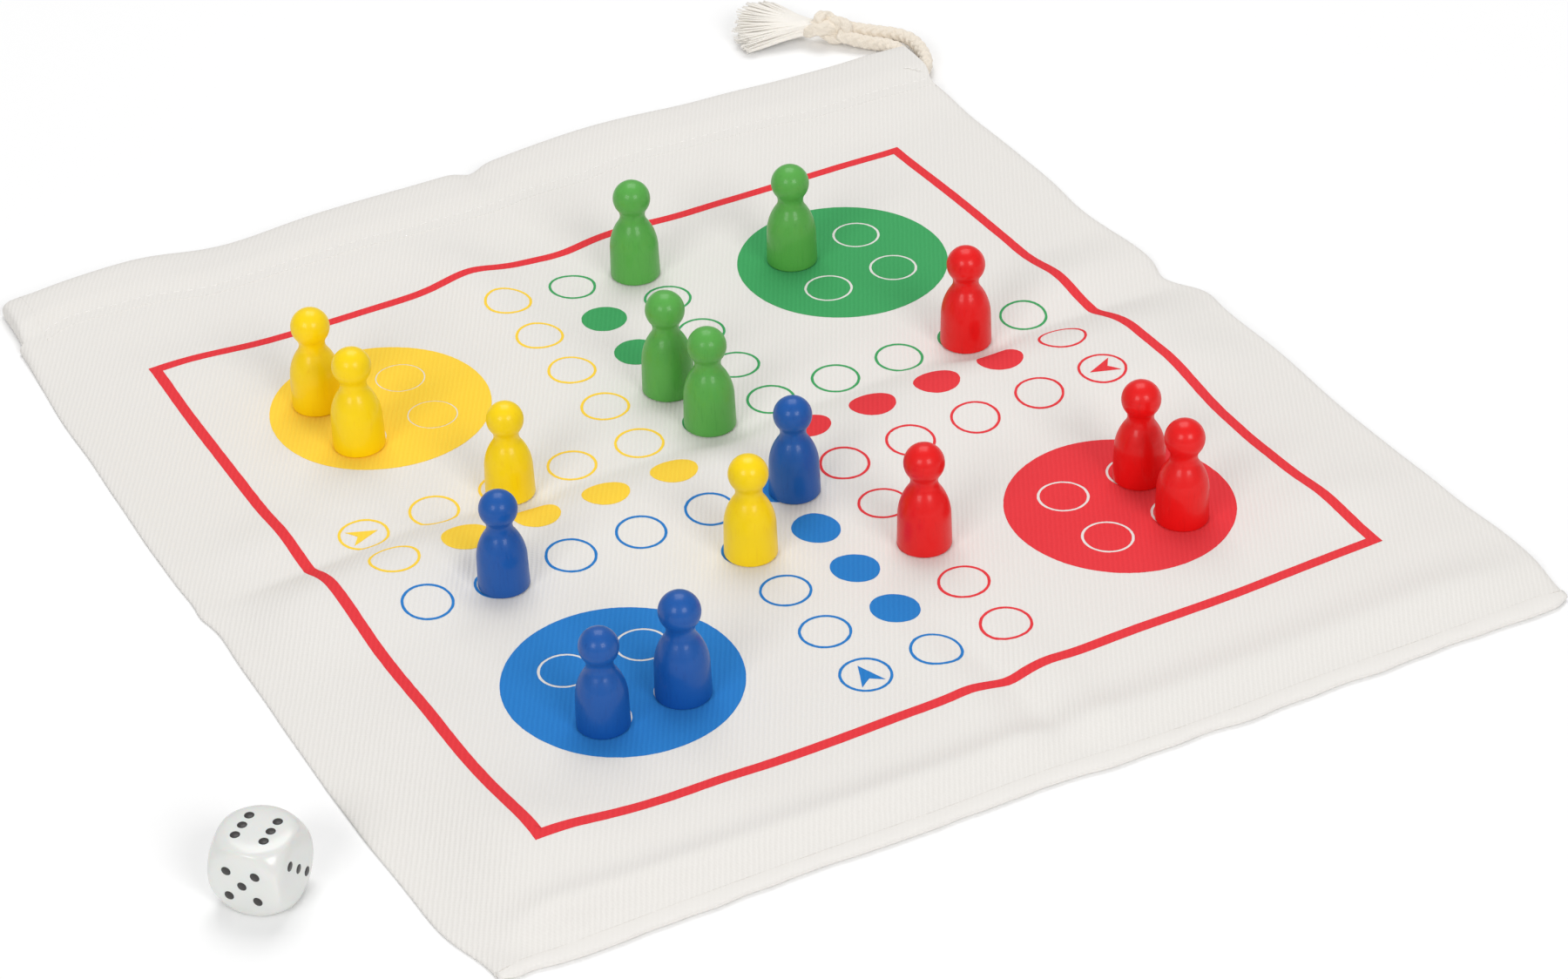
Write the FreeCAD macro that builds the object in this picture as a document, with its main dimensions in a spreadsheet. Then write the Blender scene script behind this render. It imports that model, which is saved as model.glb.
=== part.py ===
import FreeCAD, Part
import math
import os
import Sketcher

# Travel ludo game: a cotton drawstring bag lies flat, and its upper side is the printed board.
# Sixteen turned wooden pawns stand on the board, and one die stands beside the bag.
#
# Frame: the origin lies under the middle of the board, on the surface that the bag rests on.
# X runs along the mouth of the bag towards the end where the cord comes out, Y runs from the
# bottom seam to the mouth, and Z points up.

# Driving dimensions in millimetres. Names that end in share or shares are parts of other sizes,
# names that end in angle are degrees, and names that end in count are numbers of copies.
SIZES = {
    # printed board
    "field_pitch": 16.7,
    "field_ring_diameter": 11.7,
    "field_ring_line": 0.65,
    "goal_spot_diameter": 10.9,
    "home_offset": 60.0,
    "home_diameter": 50.0,
    "home_circle_offset": 8.8,
    "home_circle_diameter": 11.4,
    "home_circle_line": 0.6,
    "frame_side": 200.0,
    "frame_line": 2.5,
    "arrow_length": 6.6,
    "arrow_width": 5.4,
    "arrow_notch": 1.9,
    "print_film": 0.12,
    # bag
    "bag_width": 247.4,
    "near_reach": 131.0,
    "stitch_line_reach": 126.0,
    "casing_depth": 17.5,
    "cloth": 0.5,
    "pocket_gap": 1.0,
    "fold_rise": 1.9,
    "fold_foot": 8.5,
    "fold_crest": 7.5,
    "side_strip": 1.6,
    "side_round": 0.7,
    "bottom_seam_depth": 3.6,
    "seam_allowance": 9.0,
    "cap_length": 6.8,
    "cap_wall": 1.3,
    "cap_round": 2.4,
    # drawcord
    "cord_diameter": 2.8,
    "cord_play": 0.25,
    "front_cord_inset": 3.6,
    "back_cord_inset": 9.6,
    "knot_length": 13.0,
    "knot_diameter": 7.6,
    "knot_round": 2.9,
    # stitching
    "stitch_pitch": 3.0,
    "stitch_length": 2.3,
    "stitch_diameter": 0.4,
    "stitch_inset": 0.9,
    # pawn
    "pawn_height": 25.0,
    "pawn_foot_diameter": 11.8,
    "pawn_flare": 0.15,
    "pawn_foot_round": 0.45,
    "pawn_head_diameter": 8.8,
    "pawn_neck_round": 3.2,
    "pawn_neck_angle": 36.0,
    "pawn_waist_angle": 35.0,
    # die
    "die_side": 16.0,
    "die_standoff": 23.1,
    "die_ball_diameter": 21.4,
    "die_edge_round": 1.3,
    "die_pip_diameter": 2.0,
    "die_pip_spacing": 3.0,
    "die_pip_depth": 0.35,
    "die_paint": 0.25,
}

# Shares that shape the pieces
ROLL_RADIUS_SHARE = 0.27
LIP_START_SHARE = 0.65
OVERRUN_SHARE = 2.0
ARC_REACH_SHARE = 0.45

# Each pawn: where it stands, in field steps from the middle of the board, and its share of the
# full pawn size, because turned wooden pawns differ a little
PAWN_SHARES = {
    "pawn_yellow_1": (-4.28, 4.11, 1.0),
    "pawn_yellow_2": (-4.20, 2.93, 1.0),
    "pawn_yellow_3": (-2.96, 0.87, 0.93),
    "pawn_yellow_4": (-0.98, -2.06, 0.98),
    "pawn_green_1": (0.92, 4.83, 1.0),
    "pawn_green_2": (3.00, 4.00, 1.02),
    "pawn_green_3": (-0.05, 1.97, 1.02),
    "pawn_green_4": (0.03, 0.93, 1.0),
    "pawn_red_1": (4.00, 0.89, 1.0),
    "pawn_red_2": (1.01, -3.02, 1.0),
    "pawn_red_3": (4.14, -3.20, 0.98),
    "pawn_red_4": (4.11, -4.24, 0.99),
    "pawn_blue_1": (0.16, -1.16, 0.96),
    "pawn_blue_2": (-3.97, -1.05, 0.94),
    "pawn_blue_3": (-4.17, -4.21, 0.94),
    "pawn_blue_4": (-3.07, -4.18, 1.0),
}

# Where the die stands along the bag's left side, in field steps from the middle of the board,
# and how it is turned
DIE_PLACE_SHARE = -4.71
DIE_TURN_ANGLE = -49.1

# The two free strands of the cord, as points from the corner where the stitch line meets the
# bag's right side. The first point of each is the mouth of its tunnel, which the bag gives.
UPPER_STRAND_POINTS = [
    (2.6, 3.6, 3.1),
    (5.0, 6.2, 2.6),
    (6.2, 10.8, 1.9),
    (6.1, 16.6, 1.5),
    (3.8, 22.2, 1.5),
    (0.0, 26.6, 1.8),
    (-4.4, 29.3, 2.8),
    (-8.4, 30.6, 4.0),
]
LOWER_STRAND_POINTS = [
    (2.2, 9.6, 2.1),
    (4.0, 11.0, 1.8),
    (4.2, 14.2, 1.5),
    (2.6, 18.2, 1.5),
    (-1.2, 21.6, 1.6),
    (-5.6, 24.6, 2.2),
    (-9.2, 27.2, 3.0),
]
# The knot and the three sections of the tassel, from the same corner
KNOT_CENTRE_POINT = (-12.5, 30.6)
KNOT_TURN_ANGLE = 143.0
TASSEL_SECTIONS = [
    # (x, y, half width, half height, turn angle)
    (-16.8, 34.0, 2.4, 2.2, 53.0),
    (-21.0, 38.8, 6.4, 2.0, 55.0),
    (-27.9, 45.5, 12.9, 1.3, 61.0),
]

DIE_FACES = {
    # face normal, first direction, second direction, pips in steps along the two directions
    "top": ((0, 0, 1), (1, 0, 0), (0, 1, 0), [(-1, -1), (-1, 0), (-1, 1), (1, -1), (1, 0), (1, 1)]),
    "bottom": ((0, 0, -1), (1, 0, 0), (0, 1, 0), [(0, 0)]),
    "front": ((0, -1, 0), (1, 0, 0), (0, 0, 1), [(-1, -1), (-1, 1), (0, 0), (1, -1), (1, 1)]),
    "back": ((0, 1, 0), (1, 0, 0), (0, 0, 1), [(-1, -1), (1, 1)]),
    "right": ((1, 0, 0), (0, 1, 0), (0, 0, 1), [(-1, 1), (0, 0), (1, -1)]),
    "left": ((-1, 0, 0), (0, 1, 0), (0, 0, 1), [(-1, -1), (-1, 1), (1, -1), (1, 1)]),
}

os.makedirs("parts", exist_ok=True)
doc = FreeCAD.newDocument("travel_ludo_game")
sheet = doc.addObject("Spreadsheet::Sheet", "Sizes")
for row, (alias, number) in enumerate(SIZES.items(), start=1):
    sheet.set(f"A{row}", alias)
    sheet.set(f"B{row}", str(number))
    sheet.setAlias(f"B{row}", alias)
doc.recompute()


class Size:
    """A length with its number now and the expression that gives it from the sheet."""

    def __init__(self, number, text):
        self.number = number
        self.text = text

    def __add__(self, other):
        other = as_size(other)
        return Size(self.number + other.number, f"({self.text} + {other.text})")

    def __sub__(self, other):
        other = as_size(other)
        return Size(self.number - other.number, f"({self.text} - {other.text})")

    def __mul__(self, other):
        other = as_size(other)
        return Size(self.number * other.number, f"({self.text} * {other.text})")

    def __truediv__(self, other):
        other = as_size(other)
        return Size(self.number / other.number, f"({self.text} / {other.text})")

    def __neg__(self):
        return Size(-self.number, f"(-1 * {self.text})")


def as_size(value):
    """A plain number as a Size, and a Size as it is."""
    return value if isinstance(value, Size) else Size(float(value), repr(value))


def cosine(angle):
    return Size(math.cos(math.radians(angle.number)), f"cos({angle.text} * 1 deg)")


def sine(angle):
    return Size(math.sin(math.radians(angle.number)), f"sin({angle.text} * 1 deg)")


class Sheet:
    """The driving dimensions as attributes, read back from the spreadsheet."""

    def __getattr__(self, alias):
        return Size(float(sheet.get(alias)), f"Sizes.{alias}")


dim = Sheet()
zero = as_size(0)
nodes = []


def bind(thing, path, size):
    """Tie one property of an object to the sheet."""
    thing.setExpression(path, size.text)


def keep(thing, name):
    """Name an object as a sub-part that is written to its own file."""
    thing.Label = name
    nodes.append(thing)
    return thing


def body_named(name):
    body = doc.addObject("PartDesign::Body", name)
    return keep(body, name)


def sketch_on(body, name, role, offset=zero):
    """A sketch on one of the body's own origin planes, moved along the plane's normal."""
    sketch = body.newObject("Sketcher::SketchObject", name)
    plane = next(item for item in body.Origin.OriginFeatures if item.Role == role)
    sketch.AttachmentSupport = (plane, "")
    sketch.MapMode = "FlatFace"
    sketch.AttachmentOffset = FreeCAD.Placement(
        FreeCAD.Vector(0, 0, offset.number), FreeCAD.Rotation())
    bind(sketch, ".AttachmentOffset.Base.z", offset)
    return sketch


def fix_point(sketch, geometry, end, point, label):
    """Hold one end of a line or arc at a point that the sheet gives."""
    for axis, size in zip("XY", point):
        index = sketch.addConstraint(
            Sketcher.Constraint(f"Distance{axis}", -1, 1, geometry, end, size.number))
        sketch.renameConstraint(index, f"{label}{axis}")
        bind(sketch, f"Constraints.{label}{axis}", size)


def draw_outline(sketch, corners):
    """Draw a closed outline. A corner is (x, y), or (x, y, centre, radius, turn) where an arc
    leads to it from the corner before, turning +1 to the left or -1 to the right."""
    count = len(corners)
    pieces = []
    for index, corner in enumerate(corners):
        start = corners[index - 1]
        first = FreeCAD.Vector(start[0].number, start[1].number, 0)
        last = FreeCAD.Vector(corner[0].number, corner[1].number, 0)
        if len(corner) == 2:
            geometry = sketch.addGeometry(Part.LineSegment(first, last), False)
            pieces.append((geometry, 1, 2))
            continue
        centre = FreeCAD.Vector(corner[2][0].number, corner[2][1].number, 0)
        circle = Part.Circle(centre, FreeCAD.Vector(0, 0, 1), corner[3].number)
        angles = [math.atan2(p.y - centre.y, p.x - centre.x) for p in (first, last)]
        if corner[4] < 0:
            angles.reverse()
        geometry = sketch.addGeometry(Part.ArcOfCircle(circle, angles[0], angles[1]), False)
        pieces.append((geometry, 1, 2) if corner[4] > 0 else (geometry, 2, 1))
        label = sketch.addConstraint(Sketcher.Constraint("Radius", geometry, corner[3].number))
        sketch.renameConstraint(label, f"arc{index}")
        bind(sketch, f"Constraints.arc{index}", corner[3])
    for index in range(count):
        here = pieces[index]
        after = pieces[(index + 1) % count]
        sketch.addConstraint(Sketcher.Constraint("Coincident", here[0], here[2], after[0], after[1]))
        fix_point(sketch, here[0], here[2], corners[index], f"corner{index}")


def draw_circle(sketch, centre, radius):
    middle = FreeCAD.Vector(centre[0].number, centre[1].number, 0)
    index = sketch.addGeometry(Part.Circle(middle, FreeCAD.Vector(0, 0, 1), radius.number), False)
    fix_point(sketch, index, 3, centre, f"centre{index}")
    label = sketch.addConstraint(Sketcher.Constraint("Radius", index, radius.number))
    sketch.renameConstraint(label, f"radius{index}")
    bind(sketch, f"Constraints.radius{index}", radius)


def pad(body, sketch, name, length):
    """Raise a sketch along its normal."""
    feature = body.newObject("PartDesign::Pad", name)
    feature.Profile = sketch
    feature.Length = length.number
    bind(feature, "Length", length)
    sketch.Visibility = False
    body.Tip = feature
    return feature


def bore(body, name, centre, radius, length, offset):
    """Cut a round hole along X through the body, and make sure that it did cut."""
    doc.recompute()
    before = body.Shape.Volume
    sketch = sketch_on(body, f"{name}_sketch", "YZ_Plane", offset)
    draw_circle(sketch, centre, radius)
    feature = body.newObject("PartDesign::Pocket", name)
    feature.Profile = sketch
    feature.Reversed = True
    feature.Length = length.number
    bind(feature, "Length", length)
    body.Tip = feature
    doc.recompute()
    if body.Shape.Volume >= before:
        raise RuntimeError(f"{name} removed nothing")
    return feature


def prism_along_x(body, name, corners, start, length):
    """Raise an outline in the Y-Z plane along X, from start over length."""
    sketch = sketch_on(body, f"{name}_sketch", "YZ_Plane", start)
    draw_outline(sketch, corners)
    return pad(body, sketch, name, length)


def box_between(name, low, high):
    """A rectangular block between two corners."""
    block = doc.addObject("Part::Box", name)
    for side, first, last in zip(("Length", "Width", "Height"), low, high):
        size = last - first
        setattr(block, side, size.number)
        bind(block, side, size)
    place(block, low)
    return block


def place(thing, corner):
    """Put an object's own origin at a point that the sheet gives."""
    thing.Placement.Base = FreeCAD.Vector(*[size.number for size in corner])
    for axis, size in zip("xyz", corner):
        bind(thing, f".Placement.Base.{axis}", size)


# Levels and reaches that more than one piece uses
bag_half = dim.bag_width / 2
panel_half = bag_half - dim.side_strip
mouth_reach = dim.stitch_line_reach + dim.casing_depth
panel_near = -(dim.near_reach - dim.bottom_seam_depth)
back_top = dim.cloth
far_under = back_top + dim.pocket_gap
far_top = far_under + dim.cloth
near_under = far_under + dim.fold_rise
near_top = near_under + dim.cloth
hem_layers = dim.cloth * 2
cord_radius = dim.cord_diameter / 2
tunnel_radius = cord_radius + dim.cord_play
sleeve_radius = tunnel_radius + dim.cloth
front_cord_y = dim.stitch_line_reach + dim.front_cord_inset
back_cord_y = dim.stitch_line_reach + dim.back_cord_inset
back_cord_z = sleeve_radius
front_cord_z = hem_layers + sleeve_radius
casing_top = hem_layers + sleeve_radius * 2
hem_start = -(bag_half - dim.cap_length)
hem_length = bag_half - hem_start


def cloth_top(y):
    """Height of the board's upper face at a place along Y, as a number."""
    foot = dim.fold_foot.number
    crest = -dim.fold_crest.number
    share = min(1.0, max(0.0, (foot - y) / (foot - crest)))
    return far_top.number + share * dim.fold_rise.number


# Bag cloth
def make_back_panel():
    body = body_named("bag_back_panel")
    sketch = sketch_on(body, "back_panel_sketch", "XY_Plane")
    draw_outline(sketch, [
        (-panel_half, panel_near),
        (panel_half, panel_near),
        (panel_half, dim.stitch_line_reach),
        (-panel_half, dim.stitch_line_reach),
    ])
    pad(body, sketch, "back_panel_pad", dim.cloth)


def make_front_panel():
    """The board side, with the step that the storage fold leaves across the cloth."""
    body = body_named("bag_front_panel")
    prism_along_x(body, "front_panel_pad", [
        (panel_near, near_under),
        (-dim.fold_crest, near_under),
        (dim.fold_foot, far_under),
        (dim.stitch_line_reach, far_under),
        (dim.stitch_line_reach, far_top),
        (dim.fold_foot, far_top),
        (-dim.fold_crest, near_top),
        (panel_near, near_top),
    ], -panel_half, panel_half * 2)


def make_side(name, start, outer_x):
    """The closed long side of the bag, as high as the panels that it joins."""
    body = body_named(name)
    feature = prism_along_x(body, f"{name}_pad", [
        (panel_near, zero),
        (dim.stitch_line_reach, zero),
        (dim.stitch_line_reach, far_top),
        (dim.fold_foot, far_top),
        (-dim.fold_crest, near_top),
        (panel_near, near_top),
    ], start, dim.side_strip)
    doc.recompute()
    names = []
    for index, edge in enumerate(feature.Shape.Edges, start=1):
        box = edge.BoundBox
        outside = abs(box.Center.x - outer_x.number) < dim.cloth.number / 2 and box.XLength < dim.cloth.number
        if outside and box.YLength > dim.casing_depth.number and box.ZMin > dim.cloth.number:
            names.append(f"Edge{index}")
    fillet = body.newObject("PartDesign::Fillet", f"{name}_round")
    fillet.Base = (feature, names)
    fillet.Radius = dim.side_round.number
    bind(fillet, "Radius", dim.side_round)
    body.Tip = fillet


def make_bottom_seam():
    """Two soft rolls, one of each panel, with the seam's groove between them."""
    body = body_named("bag_bottom_seam")
    roll = near_top * ROLL_RADIUS_SHARE
    roll_y = -(dim.near_reach - roll)
    prism_along_x(body, "seam_web", [
        (roll_y, zero),
        (panel_near, zero),
        (panel_near, near_top),
        (roll_y, near_top),
    ], -bag_half, bag_half * 2)
    for name, height in (("seam_roll_back", roll), ("seam_roll_front", near_top - roll)):
        sketch = sketch_on(body, f"{name}_sketch", "YZ_Plane", -bag_half)
        draw_circle(sketch, (roll_y, height), roll)
        pad(body, sketch, name, bag_half * 2)


def make_allowances():
    """Turned-in edges of the cloth, two layers thick, inside the bottom and the right side."""
    inner_near = panel_near + dim.seam_allowance
    bottom = box_between("bottom_seam_allowance", (-panel_half, panel_near, back_top),
                         (panel_half, inner_near, far_under))
    side = box_between("side_seam_allowance", (panel_half - dim.seam_allowance, inner_near, back_top),
                       (panel_half, dim.stitch_line_reach, far_under))
    keep(bottom, "bottom_seam_allowance")
    keep(side, "side_seam_allowance")


# Casing that holds the drawcord
def make_back_casing():
    body = body_named("back_casing")
    prism_along_x(body, "back_casing_layers", [
        (dim.stitch_line_reach, zero),
        (mouth_reach, zero),
        (mouth_reach, hem_layers),
        (dim.stitch_line_reach, hem_layers),
    ], hem_start, hem_length)
    sketch = sketch_on(body, "back_sleeve_sketch", "YZ_Plane", hem_start)
    draw_circle(sketch, (back_cord_y, back_cord_z), sleeve_radius)
    pad(body, sketch, "back_sleeve", hem_length)
    bore(body, "back_tunnel", (back_cord_y, back_cord_z), tunnel_radius, hem_length, hem_start)


def make_front_casing():
    """The hem of the board side: it lies on the back hem and bridges both cords."""
    body = body_named("front_casing")
    lip_start = back_cord_y + sleeve_radius * LIP_START_SHARE
    prism_along_x(body, "front_casing_cover", [
        (front_cord_y, casing_top - hem_layers),
        (lip_start, casing_top - hem_layers),
        (mouth_reach, hem_layers),
        (mouth_reach, hem_layers * 2),
        (lip_start, casing_top),
        (front_cord_y, casing_top),
    ], hem_start, hem_length)
    sketch = sketch_on(body, "front_sleeve_sketch", "YZ_Plane", hem_start)
    draw_circle(sketch, (front_cord_y, front_cord_z), sleeve_radius)
    pad(body, sketch, "front_sleeve", hem_length)
    prism_along_x(body, "front_casing_flange", [
        (dim.stitch_line_reach, hem_layers),
        (front_cord_y, hem_layers),
        (front_cord_y, hem_layers * 2),
        (dim.stitch_line_reach, hem_layers * 2),
    ], hem_start, hem_length)
    bore(body, "front_tunnel", (front_cord_y, front_cord_z), tunnel_radius, hem_length, hem_start)


def make_casing_left_fold():
    """The folded end of the casing, hollow where the cord turns back."""
    outer = box_between("casing_fold_block", (-bag_half, dim.stitch_line_reach, zero),
                        (hem_start, mouth_reach, casing_top))
    hollow = box_between(
        "casing_fold_hollow",
        (-(bag_half - dim.cap_wall), front_cord_y - tunnel_radius, dim.cloth),
        (hem_start + dim.cap_wall, back_cord_y + tunnel_radius, casing_top - dim.cloth))
    rounded = doc.addObject("Part::Fillet", "casing_fold_rounded")
    rounded.Base = outer
    doc.recompute()
    edges = []
    for index, edge in enumerate(outer.Shape.Edges, start=1):
        box = edge.BoundBox
        if box.ZLength > dim.cloth.number and box.Center.x < hem_start.number - dim.cap_wall.number:
            edges.append((index, dim.cap_round.number, dim.cap_round.number))
    rounded.Edges = edges
    cut = doc.addObject("Part::Cut", "casing_left_fold")
    cut.Base = rounded
    cut.Tool = hollow
    keep(cut, "casing_left_fold")


def make_casing_stitching():
    """The visible row of stitches along the front hem."""
    pitch = dim.stitch_pitch.number
    length = dim.stitch_length.number
    radius = dim.stitch_diameter.number / 2
    start = hem_start.number
    count = int((bag_half.number - start) / pitch)
    y = dim.stitch_line_reach.number + dim.stitch_inset.number
    z = hem_layers.number * 2 + radius
    stitches = []
    for index in range(count):
        low = FreeCAD.Vector(start + index * pitch + (pitch - length) / 2, y, z)
        stitches.append(Part.makeCylinder(radius, length, low, FreeCAD.Vector(1, 0, 0)))
    add_shape("casing_stitching", Part.makeCompound(stitches))


def add_shape(name, shape, label=True):
    """A sub-part whose shape is made here, with its place already in the shape."""
    feature = doc.addObject("Part::Feature", name)
    feature.Shape = shape
    feature.Placement = FreeCAD.Placement()
    if label:
        keep(feature, name)
    return feature


# Printed board
def print_layer():
    """A film that follows the board's upper face under the whole print."""
    half = dim.frame_side.number / 2
    film = dim.print_film.number
    foot = dim.fold_foot.number
    crest = -dim.fold_crest.number
    line = [(-half, cloth_top(-half)), (crest, cloth_top(crest)),
            (foot, cloth_top(foot)), (half, cloth_top(half))]
    corners = [FreeCAD.Vector(-half, y, z) for y, z in line]
    corners += [FreeCAD.Vector(-half, y, z + film) for y, z in reversed(line)]
    face = Part.Face(Part.makePolygon(corners + corners[:1]))
    return face.extrude(FreeCAD.Vector(2 * half, 0, 0))


def column(x, y, radius):
    """An upright round column through the whole height of the bag."""
    tall = casing_top.number
    return Part.makeCylinder(radius, tall * OVERRUN_SHARE, FreeCAD.Vector(x, y, 0))


def ring_column(x, y, diameter, line):
    return column(x, y, diameter / 2).cut(column(x, y, diameter / 2 - line))


def arrow_column(x, y, along):
    """A dart with a notched tail that points the way the pawns travel from a start field."""
    length = dim.arrow_length.number
    width = dim.arrow_width.number
    notch = dim.arrow_notch.number
    ahead = FreeCAD.Vector(along[0], along[1], 0)
    aside = FreeCAD.Vector(-along[1], along[0], 0)
    middle = FreeCAD.Vector(x, y, 0)
    corners = [
        middle + ahead * (length / 2),
        middle - ahead * (length / 2) + aside * (width / 2),
        middle - ahead * (length / 2 - notch),
        middle - ahead * (length / 2) - aside * (width / 2),
    ]
    face = Part.Face(Part.makePolygon(corners + corners[:1]))
    return face.extrude(FreeCAD.Vector(0, 0, casing_top.number * OVERRUN_SHARE))


def quarter_columns(turns):
    """The columns of one colour: its ten ring fields, its four goal spots, the arrow on its
    start field and its home disc. The yellow quarter is drawn, then turned in quarter turns."""
    pitch = dim.field_pitch.number
    ring = dim.field_ring_diameter.number
    line = dim.field_ring_line.number
    arm = [(-5, 0), (-5, 1), (-4, 1), (-3, 1), (-2, 1), (-1, 1), (-1, 2), (-1, 3), (-1, 4), (-1, 5)]
    columns = [ring_column(u * pitch, v * pitch, ring, line) for u, v in arm]
    columns += [column(-u * pitch, 0, dim.goal_spot_diameter.number / 2) for u in range(1, 5)]
    columns.append(arrow_column(-5 * pitch, pitch, (1, 0)))
    offset = dim.home_offset.number
    step = dim.home_circle_offset.number
    home = column(-offset, offset, dim.home_diameter.number / 2)
    for side in (-1, 1):
        for end in (-1, 1):
            home = home.cut(ring_column(-offset + side * step, offset + end * step,
                                        dim.home_circle_diameter.number, dim.home_circle_line.number))
    columns.append(home)
    for item in columns:
        item.rotate(FreeCAD.Vector(0, 0, 0), FreeCAD.Vector(0, 0, 1), -90 * turns)
    return columns


def make_print():
    layer = print_layer()
    for turns, colour in enumerate(("yellow", "green", "red", "blue")):
        pieces = []
        for item in quarter_columns(turns):
            pieces += layer.common(item).Solids
        add_shape(f"print_{colour}", Part.makeCompound(pieces))
    half = dim.frame_side.number / 2
    inner = half - dim.frame_line.number
    hole = Part.makeBox(2 * inner, 2 * inner, casing_top.number * OVERRUN_SHARE,
                        FreeCAD.Vector(-inner, -inner, 0))
    add_shape("print_frame_line", layer.cut(hole))


# Drawcord
def cord_run(name, y, z):
    """The straight stretch of cord inside one tunnel."""
    run = doc.addObject("Part::Cylinder", name)
    run.Radius = cord_radius.number
    run.Height = hem_length.number
    bind(run, "Radius", cord_radius)
    bind(run, "Height", hem_length)
    run.Placement = FreeCAD.Placement(FreeCAD.Vector(), FreeCAD.Rotation(FreeCAD.Vector(0, 1, 0), 90))
    place(run, (hem_start, y, z))
    keep(run, name)


def make_left_turn():
    """The half turn of cord at the folded side, from the front tunnel to the back tunnel."""
    front = FreeCAD.Vector(hem_start.number, front_cord_y.number, front_cord_z.number)
    back = FreeCAD.Vector(hem_start.number, back_cord_y.number, back_cord_z.number)
    along = FreeCAD.Vector(1, 0, 0)
    section = Part.Face(Part.Wire(Part.makeCircle(cord_radius.number, front, along)))
    turned = section.revolve((front + back) / 2, (front - back).cross(along), 180)
    if turned.BoundBox.XMax > hem_start.number + cord_radius.number / 2:
        turned = section.revolve((front + back) / 2, (back - front).cross(along), 180)
    add_shape("drawcord_left_turn", turned)


def cord_tube(name, points, diameter):
    """A tube of straight runs joined by tangent arcs. Each arc is as large as its runs allow."""
    corners = [FreeCAD.Vector(*point) for point in points]
    edges = []
    radii = []
    start = corners[0]
    for before, here, after in zip(corners, corners[1:], corners[2:]):
        back = (before - here).normalize()
        ahead = (after - here).normalize()
        half_turn = (math.pi - back.getAngle(ahead)) / 2
        reach = ARC_REACH_SHARE * min((before - here).Length, (after - here).Length)
        radius = reach / math.tan(half_turn)
        first = here + back * reach
        last = here + ahead * reach
        inward = (back + ahead).normalize()
        middle = here + inward * (radius / math.cos(half_turn) - radius)
        edges.append(Part.LineSegment(start, first).toShape())
        edges.append(Part.Arc(first, middle, last).toShape())
        radii.append(radius)
        start = last
    edges.append(Part.LineSegment(start, corners[-1]).toShape())
    path = Part.Wire(edges)
    direction = (corners[1] - corners[0]).normalize()
    section = Part.Wire(Part.makeCircle(diameter / 2, corners[0], direction))
    tube = path.makePipeShell([section], True, False)
    expected = math.pi * diameter ** 2 / 4 * path.Length
    print(f"{name}: length {path.Length:.1f} mm, radii " + ", ".join(f"{r:.1f}" for r in radii)
          + f", volume {tube.Volume:.1f} of {expected:.1f}")
    return tube


def make_free_cord():
    """The two free strands, the knot that ties them and the frayed tassel past the knot."""
    corner = FreeCAD.Vector(bag_half.number, dim.stitch_line_reach.number, 0)
    diameter = dim.cord_diameter.number
    exits = {
        "cord_strand_upper": (0, dim.front_cord_inset.number, front_cord_z.number),
        "cord_strand_lower": (0, dim.back_cord_inset.number, back_cord_z.number),
    }
    routes = {"cord_strand_upper": UPPER_STRAND_POINTS, "cord_strand_lower": LOWER_STRAND_POINTS}
    strands = {}
    for name, route in routes.items():
        points = [corner + FreeCAD.Vector(*point) for point in [exits[name]] + route]
        points[1].y = points[0].y
        points[1].z = points[0].z
        strands[name] = cord_tube(name, points, diameter)
        add_shape(name, strands[name])
    knot = knot_shape(corner)
    for strand in strands.values():
        knot = knot.cut(strand)
    add_shape("cord_knot", knot)
    tassel = tassel_shape(corner).cut(knot_shape(corner))
    add_shape("cord_tassel", tassel)


def knot_shape(corner):
    """A round lump, longer than thick, with well rounded ends."""
    length = dim.knot_length.number
    radius = dim.knot_diameter.number / 2
    lump = Part.makeCylinder(radius, length, FreeCAD.Vector(-length / 2, 0, 0), FreeCAD.Vector(1, 0, 0))
    rims = [edge for edge in lump.Edges if isinstance(edge.Curve, Part.Circle)]
    lump = lump.makeFillet(dim.knot_round.number, rims)
    lump.rotate(FreeCAD.Vector(0, 0, 0), FreeCAD.Vector(0, 0, 1), KNOT_TURN_ANGLE)
    lump.translate(corner + FreeCAD.Vector(KNOT_CENTRE_POINT[0], KNOT_CENTRE_POINT[1], radius))
    return lump


def tassel_shape(corner):
    wires = []
    for x, y, half_width, half_height, angle in TASSEL_SECTIONS:
        ellipse = Part.Ellipse(FreeCAD.Vector(0, 0, 0), half_width, half_height)
        wire = Part.Wire(ellipse.toShape())
        wire.rotate(FreeCAD.Vector(0, 0, 0), FreeCAD.Vector(1, 0, 0), 90)
        wire.rotate(FreeCAD.Vector(0, 0, 0), FreeCAD.Vector(0, 0, 1), angle)
        wire.translate(corner + FreeCAD.Vector(x, y, half_height))
        wires.append(wire)
    return Part.makeLoft(wires, True, True)


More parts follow.
